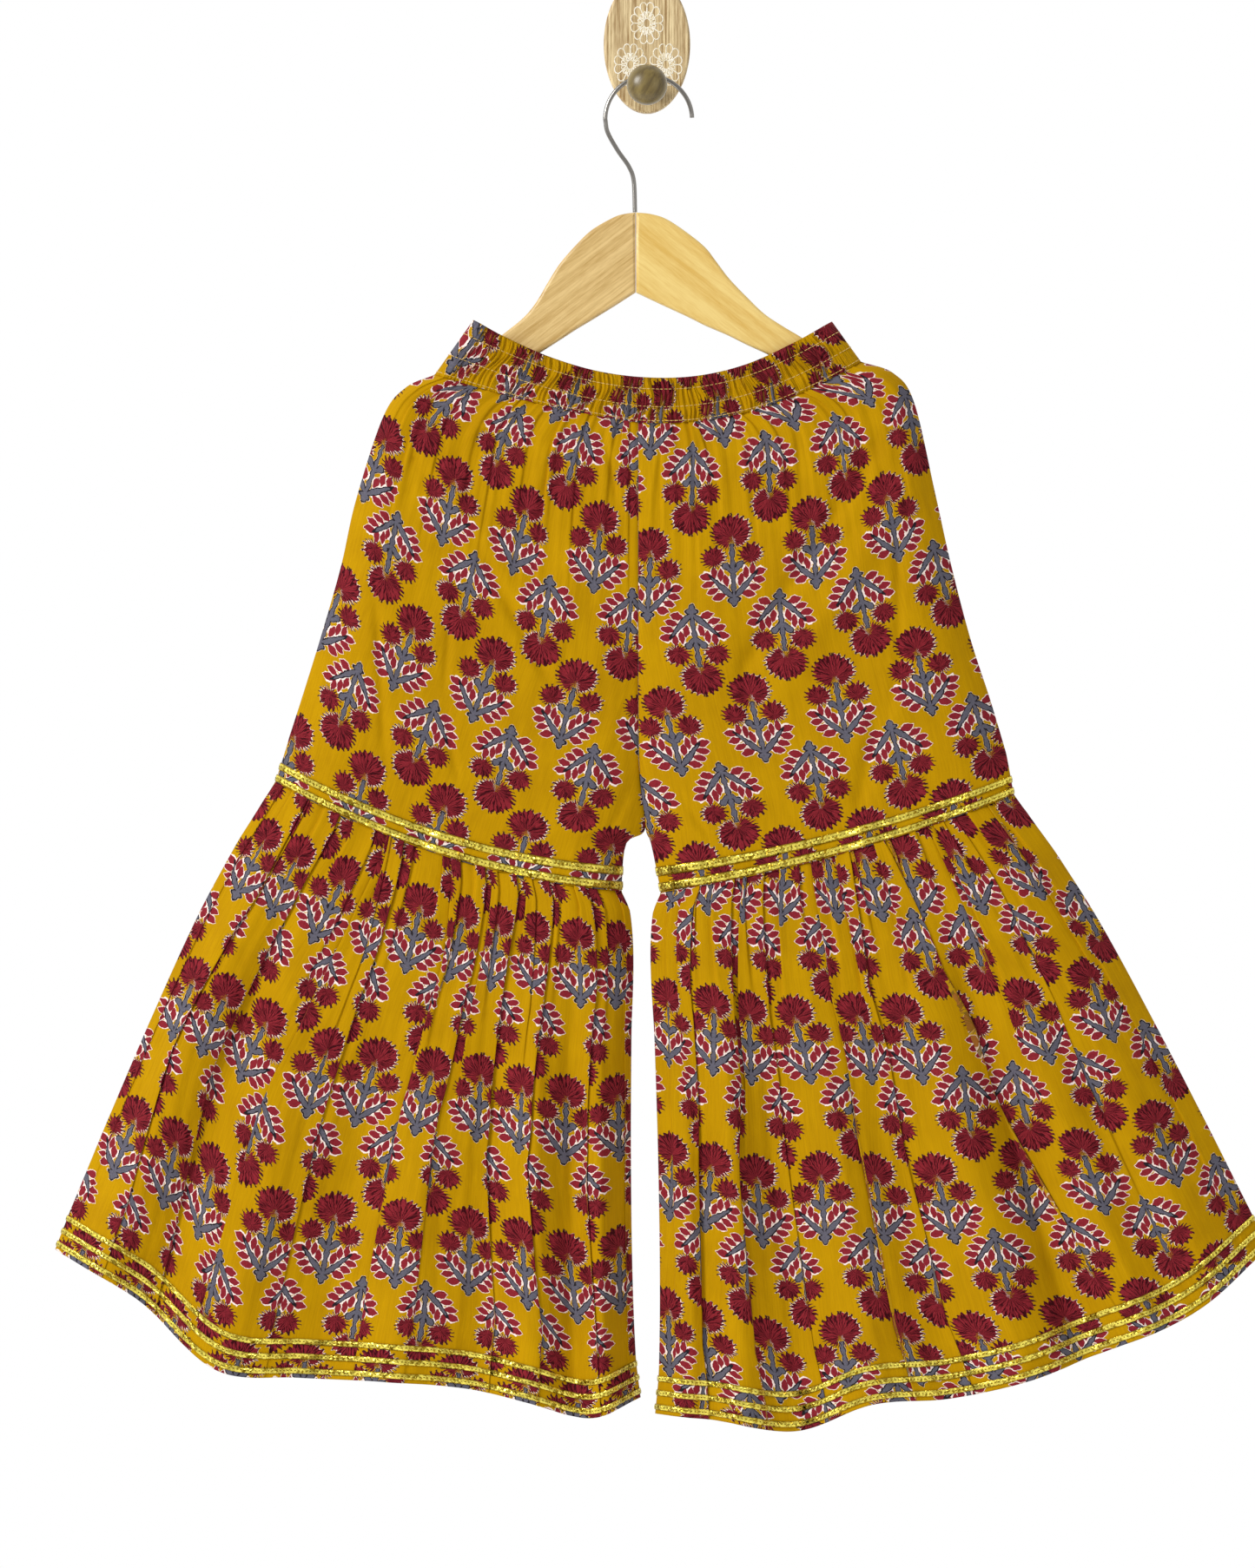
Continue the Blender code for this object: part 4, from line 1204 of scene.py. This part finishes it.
    # Its tips go round it at nearly even steps
    round_it = put(tree, "SeparateXYZ", (from_stem,)).node.outputs
    angle = put(tree, "Math", (round_it[1], round_it[0]), operation="ARCTAN2")
    tip_count = put(tree, "Mix", {0: on_main, 2: SIDE_TIPS, 3: MAIN_TIPS}, data_type="FLOAT")
    sway = put(tree, "Math", (stroke, 3.0), operation="MULTIPLY")
    wave = put(tree, "Math", (angle, tip_count, sway), operation="MULTIPLY_ADD")
    wave = put(tree, "Math", (wave,), operation="SINE")
    ragged = put(tree, "Math", (stroke, -3.2, 1.6), operation="MULTIPLY_ADD")
    ragged = put(tree, "Math", (wave, -0.75, ragged), operation="MULTIPLY_ADD")
    petals = put(tree, "Math", (away, ragged), operation="ADD")
    in_head = inked(tree, petals, 0.1, -0.25)
    strokes = inked(tree, apart(tree, stroke, 0.5), 0.09, 0.035, in_head)
    # Dark tips that stand out past the flower
    tip_in = inked(tree, away, 1.7, 1.0)
    tip_out = inked(tree, petals, -1.5, -0.5)
    tips = inked(tree, wave, 0.4, 0.75, tip_in, tip_out)

    # Ground: slubs along the warp, and a dye that took unevenly
    slub = put(tree, "Mapping", {0: place, 3: (1.1, 0.045, 1)})
    slub = put(tree, "TexNoise", {"Vector": slub, "Scale": 1.0, "Detail": 3.0})
    cloud = put(tree, "TexNoise", {"Vector": place, "Scale": 0.03, "Detail": 2.0})
    dye = put(tree, "Math", (slub, cloud), operation="ADD")
    dye = put(tree, "MapRange", (dye, 0.75, 1.25, 0.0, 1.0))
    ground = laid_over(tree, hex_colour("#B28400"), (dye, hex_colour("#C09100")))

    # Resist, crimson, slate grey and the dark outline, in the order in which they were printed
    marks = put(tree, "Math", (buds, petals), operation="MINIMUM")
    between = put(tree, "Math", (buds, stems), operation="ADD")
    nearest_ink = put(tree, "Math", (between, 0.6, -0.75), operation="MULTIPLY_ADD")
    # The crimson block was set down a little to one side, so a head's pale edge shows on the other
    aside = put(tree, "Math", (put(tree, "SeparateXYZ", (ray,)), hand), operation="MULTIPLY")
    pale_edge = put(tree, "Math", (aside, -0.55, petals), operation="MULTIPLY_ADD")
    pale_edge = put(tree, "Math", (pale_edge, 0.4), operation="ADD")
    for other_ink in (pale_edge, buds, stems):
        nearest_ink = put(tree, "Math", (nearest_ink, other_ink), operation="MINIMUM")
    mottle = put(tree, "TexNoise", {"Vector": place, "Scale": 0.9, "Detail": 2.0})
    spread = put(tree, "Math", (mottle, -0.7, nearest_ink), operation="MULTIPLY_ADD")
    crimson = laid_over(tree, hex_colour("#6E1820"), (mottle, hex_colour("#9A2E38")))
    slate = laid_over(tree, hex_colour("#494750"), (mottle, hex_colour("#716E7B")))
    rim = apart(tree, stems, 0.02)
    colour = laid_over(
        tree,
        ground,
        (inked(tree, spread, 0.16, -0.12), hex_colour("#F5E3DB")),
        (inked(tree, marks, 0.1, -0.1), crimson),
        (strokes, hex_colour("#3C0A12")),
        (tips, hex_colour("#3B1A20")),
        (inked(tree, stems, 0.12, -0.06), slate),
        (inked(tree, rim, 0.36, 0.2), hex_colour("#231F24")),
    )
    result = tree.nodes.new("NodeGroupOutput")
    tree.links.new(colour, result.inputs[0])
    return tree


def cloth_relief(tree, cloth, drawn_up):
    """Height of the weave and of the small creases left by washing and gathering, in metres.

    Drawn_up is the height of the close creases where an elastic shortens the cloth.
    """
    place = put(tree, "VectorMath", (cloth, TO_MM), operation="MULTIPLY")
    total = None
    # Warp and weft of a plain weave of 0.35 mm threads, drawn twice as coarse so that it shows,
    # then creases along the warp, then soft crumpling
    layers = [((1.6, 0.22), 0.035), ((0.22, 1.6), 0.035), ((0.11, 0.02), 0.1), ((0.07, 0.055), 0.9)]
    if drawn_up:
        layers.append(((0.5, 0.05), drawn_up))
    for scale, height in layers:
        spread = put(tree, "Mapping", {0: place, 3: (*scale, 1)})
        noise = put(tree, "TexNoise", {"Vector": spread, "Scale": 1.0, "Detail": 2.0})
        values = (noise, height * MM, 0.0 if total is None else total)
        total = put(tree, "Math", values, operation="MULTIPLY_ADD")
    return put(tree, "Bump", {"Strength": 1.0, "Distance": 1.0, "Height": total})


def printed_cotton(name, group, worn=0.0, drawn_up=0.0):
    """Fine plain-woven cotton, block printed and washed: matt, with a faint sheen along the folds.

    On its inner side the ink has only soaked through, so the print is paler there.
    """
    sheen = {"Sheen_Weight": 0.03, "Sheen_Roughness": 0.4, "Sheen_Tint": hex_colour("#FFE08A")}
    material, tree, shader = new_material(name, Roughness=0.8, Specular_IOR_Level=0.06, **sheen)
    cloth = put(tree, "UVMap", uv_map="Cloth")
    drawn = tree.nodes.new("ShaderNodeGroup")
    drawn.node_tree = group
    tree.links.new(cloth, drawn.inputs[0])
    colour = drawn.outputs[0]
    if worn:
        colour = laid_over(tree, colour, (worn, hex_colour("#BF9620")))
    tree.links.new(colour, shader.inputs["Base Color"])
    tree.links.new(cloth_relief(tree, cloth, drawn_up), shader.inputs["Normal"])
    return material


def gota():
    """Gota, a ribbon of flat gilt wire woven across cotton: each crimp of the wire glitters. Each
    crimp's colour is also painted lighter or darker at random, as painted glints and painted shade.
    """
    material, tree, shader = new_material("Gilt gota ribbon", Metallic=0.7, Roughness=0.26)
    cloth = put(tree, "UVMap", uv_map="Cloth")
    place = put(tree, "VectorMath", (cloth, TO_MM), operation="MULTIPLY")
    crimps = put(tree, "TexVoronoi", {"Vector": place, "Scale": 0.85}, out=1)
    # Painted glints and painted shade: each crimp's colour is made lighter or darker at random, for the
    # light that it catches
    painted_glint_and_shade = put(tree, "MapRange", (put(tree, "SeparateXYZ", (crimps,)), 0.1, 0.5, 0.0, 1.0))
    # A line of small stitches down the ribbon's middle, in thread a little darker than the gilt
    axes = put(tree, "SeparateXYZ", (place,)).node.outputs
    off = put(tree, "Math", (axes[1],), operation="ABSOLUTE")
    beat = put(tree, "Math", (axes[0], 2 * math.pi / GILT_STITCH), operation="MULTIPLY")
    beat = put(tree, "Math", (beat,), operation="SINE")
    colour = laid_over(
        tree,
        hex_colour("#A08000"),
        (painted_glint_and_shade, hex_colour("#FFEC64")),
        # Painted shade: the gilt is darker along both edges of the ribbon
        (inked(tree, off, 1.35, 1.75), hex_colour("#B08E10")),
        (inked(tree, off, 0.45, 0.2, inked(tree, beat, 0.0, 0.4)), hex_colour("#8A7208")),
    )
    tree.links.new(colour, shader.inputs["Base Color"])
    # Each crimp leans its own way, and the ribbon as a whole twists a little between stitches
    tilt = either_way(tree, crimps, CRIMP_TILT, CRIMP_TILT, CRIMP_TILT)
    twist = put(tree, "TexNoise", {"Vector": place, "Scale": 0.06, "Detail": 1.0}, out=1)
    twist = either_way(tree, twist, RIBBON_TWIST, RIBBON_TWIST, RIBBON_TWIST)
    tilt = put(tree, "VectorMath", (tilt, twist), operation="ADD")
    facing = put(tree, "NewGeometry", out=1)
    tilted = put(tree, "VectorMath", (facing, tilt), operation="ADD")
    tree.links.new(put(tree, "VectorMath", (tilted,), operation="NORMALIZE"), shader.inputs["Normal"])
    return material


def sewing_thread():
    """Mercerised cotton sewing thread: a tight twist with a silky shine."""
    constants = {"Base_Color": hex_colour("#D9B45A"), "Roughness": 0.5, "Sheen_Weight": 0.3}
    material, tree, shader = new_material("Mercerised cotton thread", **constants)
    place = put(tree, "TexCoord", out=3)
    twist = put(tree, "TexNoise", {"Vector": place, "Scale": 2500.0, "Detail": 1.0})
    give_relief(tree, shader, twist, 0.1)
    return material


def wood(name, pale, dark, slope, roughness, gloss, bands):
    """Planed or turned wood under a finish, its grain along a direction in the face's plane.

    Bands are the growth lines' spacing across the grain, in millimetres.
    """
    coat = {"Coat_Weight": gloss, "Coat_Roughness": 0.25}
    material, tree, shader = new_material(name, Roughness=roughness, **coat)
    place = put(tree, "TexCoord", out=3)
    turn = (0, 0, math.radians(-slope))
    along = put(tree, "Mapping", {0: place, 2: turn, 3: (1000, 1000, 1000)})
    grain = put(tree, "Mapping", {0: along, 3: (0.012, 1 / bands, 0.3)})
    lines = put(tree, "TexNoise", {"Vector": grain, "Scale": 1.0, "Detail": 4.0})
    fleck_at = put(tree, "Mapping", {0: along, 3: (0.12, 1.1, 0.8)})
    flecks = put(tree, "TexNoise", {"Vector": fleck_at, "Scale": 1.0, "Detail": 2.0})
    mixed = put(tree, "Math", (flecks, 0.45, lines), operation="MULTIPLY_ADD")
    tone = put(tree, "MapRange", (mixed, 0.52, 0.92, 0.0, 1.0))
    colour = laid_over(tree, hex_colour(dark), (tone, hex_colour(pale)))
    tree.links.new(colour, shader.inputs["Base Color"])
    give_relief(tree, shader, mixed, 0.12)
    return material


def drawn_steel():
    """Bright drawn steel wire: grey with long soft highlights and faint lines from the die."""
    constants = {"Base_Color": hex_colour("#9A9690"), "Metallic": 1.0, "Roughness": 0.28}
    material, tree, shader = new_material("Drawn steel wire", **constants)
    place = put(tree, "TexCoord", out=3)
    marks = put(tree, "TexNoise", {"Vector": place, "Scale": 1800.0, "Detail": 2.0})
    give_relief(tree, shader, marks, 0.04)
    return material


def white_paint():
    """Chalky white paint, stencilled thinly so that the wood breaks through in places."""
    material, tree, shader = new_material("Chalky white paint", Roughness=0.7)
    place = put(tree, "TexCoord", out=3)
    wear = put(tree, "TexNoise", {"Vector": place, "Scale": 700.0, "Detail": 3.0})
    thin = put(tree, "MapRange", (wear, 0.35, 0.6, 0.0, 1.0))
    colour = laid_over(tree, hex_colour("#E6D8B4"), (thin, hex_colour("#FCF6E6")))
    tree.links.new(colour, shader.inputs["Base Color"])
    return material


def make_ribbon(node, rows, facing, width, material):
    """A ribbon sewn on a piece of cloth, lifted off it and crinkled where the sewing draws it in."""
    out = outward(rows, facing)
    lifted = rows + out * RIBBON_LIFT
    run = run_along((lifted[1] + lifted[2]) / 2)
    crinkle = sum(ripple.height * np.sin(run * ripple.pace + ripple.start) for ripple in RIPPLES)
    crown = np.array([0.0, 1.0, 1.0, 0.0])[:, None]
    raised = (RIBBON_CROWN + crinkle) * crown + 0.5 * crinkle * (1 - crown)
    across = np.array(RIBBON_LINES)[:, None] * width
    print_at = np.stack(np.broadcast_arrays(run[None, :], across), axis=-1)
    laid = Laid(lifted + out * raised[..., None], print_at)
    piece = sheet_object(f"ribbon_{node}", laid, facing, RIBBON, True, [material])
    return carried(piece, "gota", node)


def sew_ribbons(edge, ends, lines, width, row_at, facing, material):
    """The ribbons above one edge of a piece of cloth, whose points row_at gives by height above it."""
    ribbons = []
    for line, above in lines.items():
        rows = np.array([row_at(above + offset * width) for offset in RIBBON_LINES])
        ribbons.append(make_ribbon(f"{edge}_gota_{line}_{ends}", rows, facing, width, material))
    return ribbons


def make_thread(name, paths, material):
    """Running stitches: a thread along each path that dips under the cloth between stitches."""
    curve = new_curve(name, THREAD, 1, material, capped=True)
    for points, out in paths:
        run = run_along(points)
        steps = np.arange(0, run[-1], THREAD_STEP)
        height = np.where(np.mod(steps / STITCH, 1) < STITCH_SHOWS, STITCH_LIES, STITCH_DIPS)
        place = np.stack([np.interp(steps, run, points[:, k]) for k in range(3)], axis=1)
        push = np.stack([np.interp(steps, run, out[:, k]) for k in range(3)], axis=1)
        add_path(curve, place + push * height[:, None])
    return carried(placed(name, curve), "cotton")


def make_cloth(node, laid, face, thickness, cotton):
    """One piece of cotton, in place of the solid that it stands for."""
    return carried(sheet_object(f"cotton_{node}", laid, face, thickness, False, cotton), "cotton", node)


def make_leg(leg, face, side, cotton, gold):
    """The front or back of an upper leg with its two ribbons. Gives how its cloth is laid."""
    laid = lay_leg(leg, face)
    ends = f"{side}_{leg.name}"
    piece = make_cloth(f"leg_{ends}", laid, face, SHEET, cotton)
    cloth = leg_cloth(leg, face)
    row_at = lambda above: leg_row(leg, face, cloth, KNEE_ROW - above / LAST_ROW)
    ribbons = sew_ribbons("knee", ends, KNEE_RIBBONS, KNEE_RIBBON_WIDTH, row_at, face, gold)
    return laid


def make_flounce(leg, face, side, cotton, gold):
    """The front or back of a flounce with its three ribbons."""
    ends = f"{side}_{leg.name}"
    piece = make_cloth(f"flounce_{ends}", lay_flounce(leg, face), face, SHEET, cotton)
    cloth = flounce_cloth(leg, face)
    row_at = lambda above: flounce_row(leg, face, cloth, 1 - above / FLOUNCE_LENGTH)
    ribbons = sew_ribbons("hem", ends, HEM_RIBBONS, HEM_RIBBON_WIDTH, row_at, face, gold)


def make_casing(side, face, legs_laid, cotton, thread_material):
    """The front or back of the waist casing with its lines of stitches."""
    laid = lay_casing(face, legs_laid)
    name = f"waistband_{side}"
    piece = make_cloth(name, laid, face, CASING_SHEET, cotton)
    out = outward(laid.points, face)
    downs = casing_rows_down()
    paths = []
    for seam in CASING_SEAMS:
        row = int(np.argmin(abs(downs - seam)))
        paths.append((laid.points[row], out[row]))
    thread = make_thread(f"stitches_{name}", paths, thread_material)
    cut = (sum(leg_flat(leg, face, 0) for leg in LEGS) * MM, CASING_HEIGHT * MM)


def arm_outline(arm, hand):
    """The outline of half the hanger, from the joint's top round the tip to its underside."""
    rows = finer(arm, ARM_STEPS)
    radius = (arm[-1].top - arm[-1].under) / 2
    middle = (arm[-1].top + arm[-1].under) / 2
    turns = np.linspace(math.pi / 2, -math.pi / 2, TIP_STEPS)[1:-1]
    reach = np.concatenate([rows.reach, arm[-1].reach + radius * np.cos(turns), rows.reach[::-1]])
    height = np.concatenate([rows.top, middle + radius * np.sin(turns), rows.under[::-1]])
    return np.stack([JOINT_X + hand * (GAP / 2 + reach), height, np.zeros_like(reach)], axis=1)


def make_hanger_arm(side, arm, hand, material):
    """Half the hanger, a flat board with rounded edges."""
    name = f"hanger_{side}"
    curve = new_curve(name, HANGER_ROUNDING, 4, material, dimensions="2D")
    curve.fill_mode = "BOTH"
    curve.extrude = (HANGER_THICKNESS / 2 - HANGER_ROUNDING) * MM
    curve.offset = -HANGER_ROUNDING * MM
    add_path(curve, arm_outline(arm, hand), closed=True)
    piece = placed(name, curve)
    piece.location.y = MIDDLE * MM
    piece.rotation_euler.x = math.pi / 2
    return carried(piece, "hanger_wood", f"hanger_arm_{side}")


def make_hook(material):
    """The hanger's wire: a half round over the knob's neck, and a swan neck down to the wood."""
    turns = np.radians(np.arange(HOOK_OPEN, 180, HOOK_STEP))
    neck = finer(SWAN_NECK, NECK_STEPS)
    xs = np.concatenate([HOOK_X + HOOK_RADIUS * np.cos(turns), neck.x])
    zs = np.concatenate([HOOK_Z + HOOK_RADIUS * np.sin(turns), neck.z])
    curve = new_curve("wire_hook", WIRE, 4, material, capped=True)
    add_path(curve, np.stack([xs, np.full_like(xs, MIDDLE), zs], axis=1))
    return carried(placed("wire_hook", curve), "steel", "hanger_hook")


def make_plaque(material):
    """An oval board with a rounded edge, its flat back on the wall."""
    board = bmesh.new()
    shape = {"segments": PLAQUE_SIDES, "radius1": 1, "radius2": 1, "depth": PLAQUE_THICKNESS * MM}
    bmesh.ops.create_cone(board, cap_ends=True, **shape)
    size = (PLAQUE_WIDTH / 2 * MM, PLAQUE_HEIGHT / 2 * MM, 1)
    bmesh.ops.scale(board, vec=size, verts=board.verts)
    mesh = mesh_of("oval_board", board)
    mesh.shade_smooth()
    mesh.materials.append(material)
    piece = placed("oval_board", mesh)
    piece.location = (0, -PLAQUE_THICKNESS / 2 * MM, PLAQUE_Z * MM)
    piece.rotation_euler.x = math.pi / 2
    rounding = piece.modifiers.new("Rounded edge", "BEVEL")
    rounding.width = PLAQUE_ROUNDING * MM
    rounding.segments = 5
    rounding.limit_method = "ANGLE"
    rounding.angle_limit = math.radians(50)
    rounding.harden_normals = True
    return carried(piece, "plaque_wood", "wall_plaque")


def add_ring(curve, rosette, across, up):
    """A closed painted line on the plaque's face, from places on a round rosette."""
    xs = rosette.x + across * ROSETTE_WIDTH / 2
    zs = rosette.z + up * ROSETTE_HEIGHT / 2
    ys = np.full_like(xs, -PLAQUE_THICKNESS + PAINT * PAINT_SINKS)
    add_path(curve, np.stack([xs, ys, zs], axis=1), closed=True)


def make_rosettes(material):
    """Lacy rosettes in white paint: a ring of long petals round a smaller ring of short ones."""
    curve = new_curve("painted_rosettes", PAINT, 1, material)
    turn = np.linspace(0, 2 * math.pi, RING_POINTS + 1)[:-1]
    for rosette in ROSETTES:
        for k in range(PETALS):
            middle = 2 * math.pi * (k + 0.5) / PETALS
            for petal in PETAL_RINGS:
                reach = (petal.inner + petal.outer) / 2 - (petal.outer - petal.inner) / 2 * np.cos(turn)
                angle = middle + petal.spread * np.sin(turn) * (0.45 + 0.55 * reach)
                add_ring(curve, rosette, reach * np.cos(angle), reach * np.sin(angle))
        add_ring(curve, rosette, EYE * np.cos(turn), EYE * np.sin(turn))
    return carried(placed("painted_rosettes", curve), "plaque_wood")


def make_knob(material):
    """A knob turned round the Y axis: a foot on the plaque, a neck for the hook, and a head."""
    rows = finer(KNOB, KNOB_STEPS)
    radius = np.clip(rows.radius, 0, None)
    radius[0] = 0
    corners = [(r * MM, 0, out * MM) for r, out in zip(radius, rows.out)]
    corners.append((0, 0, rows.out[-1] * MM))
    profile = bpy.data.meshes.new("turned_knob")
    profile.from_pydata(corners, [(k, k + 1) for k in range(len(corners) - 1)], [])
    profile.materials.append(material)
    piece = placed("turned_knob", profile)
    piece.rotation_euler.x = math.pi / 2
    turning = piece.modifiers.new("Turning", "SCREW")
    turning.steps = KNOB_SIDES
    turning.render_steps = KNOB_SIDES
    turning.use_merge_vertices = True
    turning.merge_threshold = 0.00001
    turning.use_smooth_shade = True
    return carried(piece, "knob_wood", "wall_knob")


def make_camera():
    """The camera, level and square to the wall."""
    data = bpy.data.cameras.new("Camera")
    data.sensor_width = SENSOR
    data.lens = SENSOR * CAMERA_DISTANCE / VIEW_HEIGHT
    data.clip_end = CLIP_END
    camera = placed("Camera", data)
    camera.location = (VIEW_X * MM, (MIDDLE - CAMERA_DISTANCE) * MM, VIEW_Z * MM)
    camera.rotation_euler = (math.pi / 2, 0, 0)
    bpy.context.scene.camera = camera


def make_light():
    """Studio light: a white backdrop behind, greyer walls in front, a broad soft light on the left."""
    scene = bpy.context.scene
    scene.view_settings.view_transform = "Standard"
    world = bpy.data.worlds.new("White surround")
    world.use_nodes = True
    tree = world.node_tree
    towards = put(tree, "SeparateXYZ", (put(tree, "TexCoord"),), out=1)
    strength = put(tree, "MapRange", (towards, -0.35, 0.35, 0.45, 1.0))
    tree.links.new(strength, tree.nodes["Background"].inputs["Strength"])
    tree.nodes["Background"].inputs["Color"].default_value = (1, 1, 1, 1)
    scene.world = world
    middle = np.array(LIT_MIDDLE) * MM
    for lamp in LAMPS:
        data = bpy.data.lights.new(lamp.name, "AREA")
        data.size = lamp.size
        data.energy = lamp.power
        light = placed(lamp.name, data)
        light.location = (lamp.x * MM, lamp.y * MM, lamp.z * MM)
        aim = light.location.copy()
        aim.x, aim.y, aim.z = (aim[k] - middle[k] for k in range(3))
        light.rotation_euler = aim.to_track_quat("Z", "Y").to_euler()


def make_floor():
    """A pale floor well below the hems."""
    material, tree, shader = new_material("Matt white floor", Roughness=0.9)
    place = put(tree, "TexCoord", out=3)
    grain = put(tree, "TexNoise", {"Vector": place, "Scale": 40.0})
    colour = laid_over(tree, hex_colour("#F7F7F7"), (grain, hex_colour("#FBFBFB")))
    tree.links.new(colour, shader.inputs["Base Color"])
    ground = bmesh.new()
    bmesh.ops.create_grid(ground, x_segments=1, y_segments=1, size=FLOOR_REACH * MM)
    mesh = mesh_of("floor", ground)
    mesh.materials.append(material)
    floor = placed("floor", mesh)
    floor.location.z = FLOOR_Z * MM


def main():
    """The stage, then what carries the garment, then its front and its back."""
    make_camera()
    make_light()
    make_floor()
    group = block_print()
    inner_side = printed_cotton("Block-printed cotton, inner side", group, worn=0.4)
    cotton = [printed_cotton("Block-printed cotton", group), inner_side]
    elastic = [printed_cotton("Block-printed cotton over elastic", group, drawn_up=3.2), inner_side]
    gold = gota()
    thread = sewing_thread()
    # The two halves differ in their grain, and also by painted light: the left half is painted darker
    # as painted shade, and the right half lighter as a painted highlight, as the arms of a bent hanger
    # meet the light at different angles
    left_beech_painted_shade = wood("Lacquered beech, left half", "#E2C180", "#BC9650", 37, 0.42, 0.35, 2.2)
    right_beech_painted_light = wood("Lacquered beech, right half", "#EFD07E", "#DCB256", -38, 0.4, 0.35, 5.0)
    make_hanger_arm("left", LEFT_ARM, -1, left_beech_painted_shade)
    make_hanger_arm("right", RIGHT_ARM, 1, right_beech_painted_light)
    make_hook(drawn_steel())
    make_plaque(wood("Waxed mango board", "#EDD6A4", "#94703C", 90, 0.6, 0.1, 1.1))
    make_rosettes(white_paint())
    make_knob(wood("Turned and stained knob", "#83703A", "#5C4B22", 62, 0.4, 0.4, 4.5))
    for side, face in FACES.items():
        legs_laid = {leg.name: make_leg(leg, face, side, cotton, gold) for leg in LEGS}
        for leg in LEGS:
            make_flounce(leg, face, side, cotton, gold)
        make_casing(side, face, legs_laid, elastic, thread)


main()
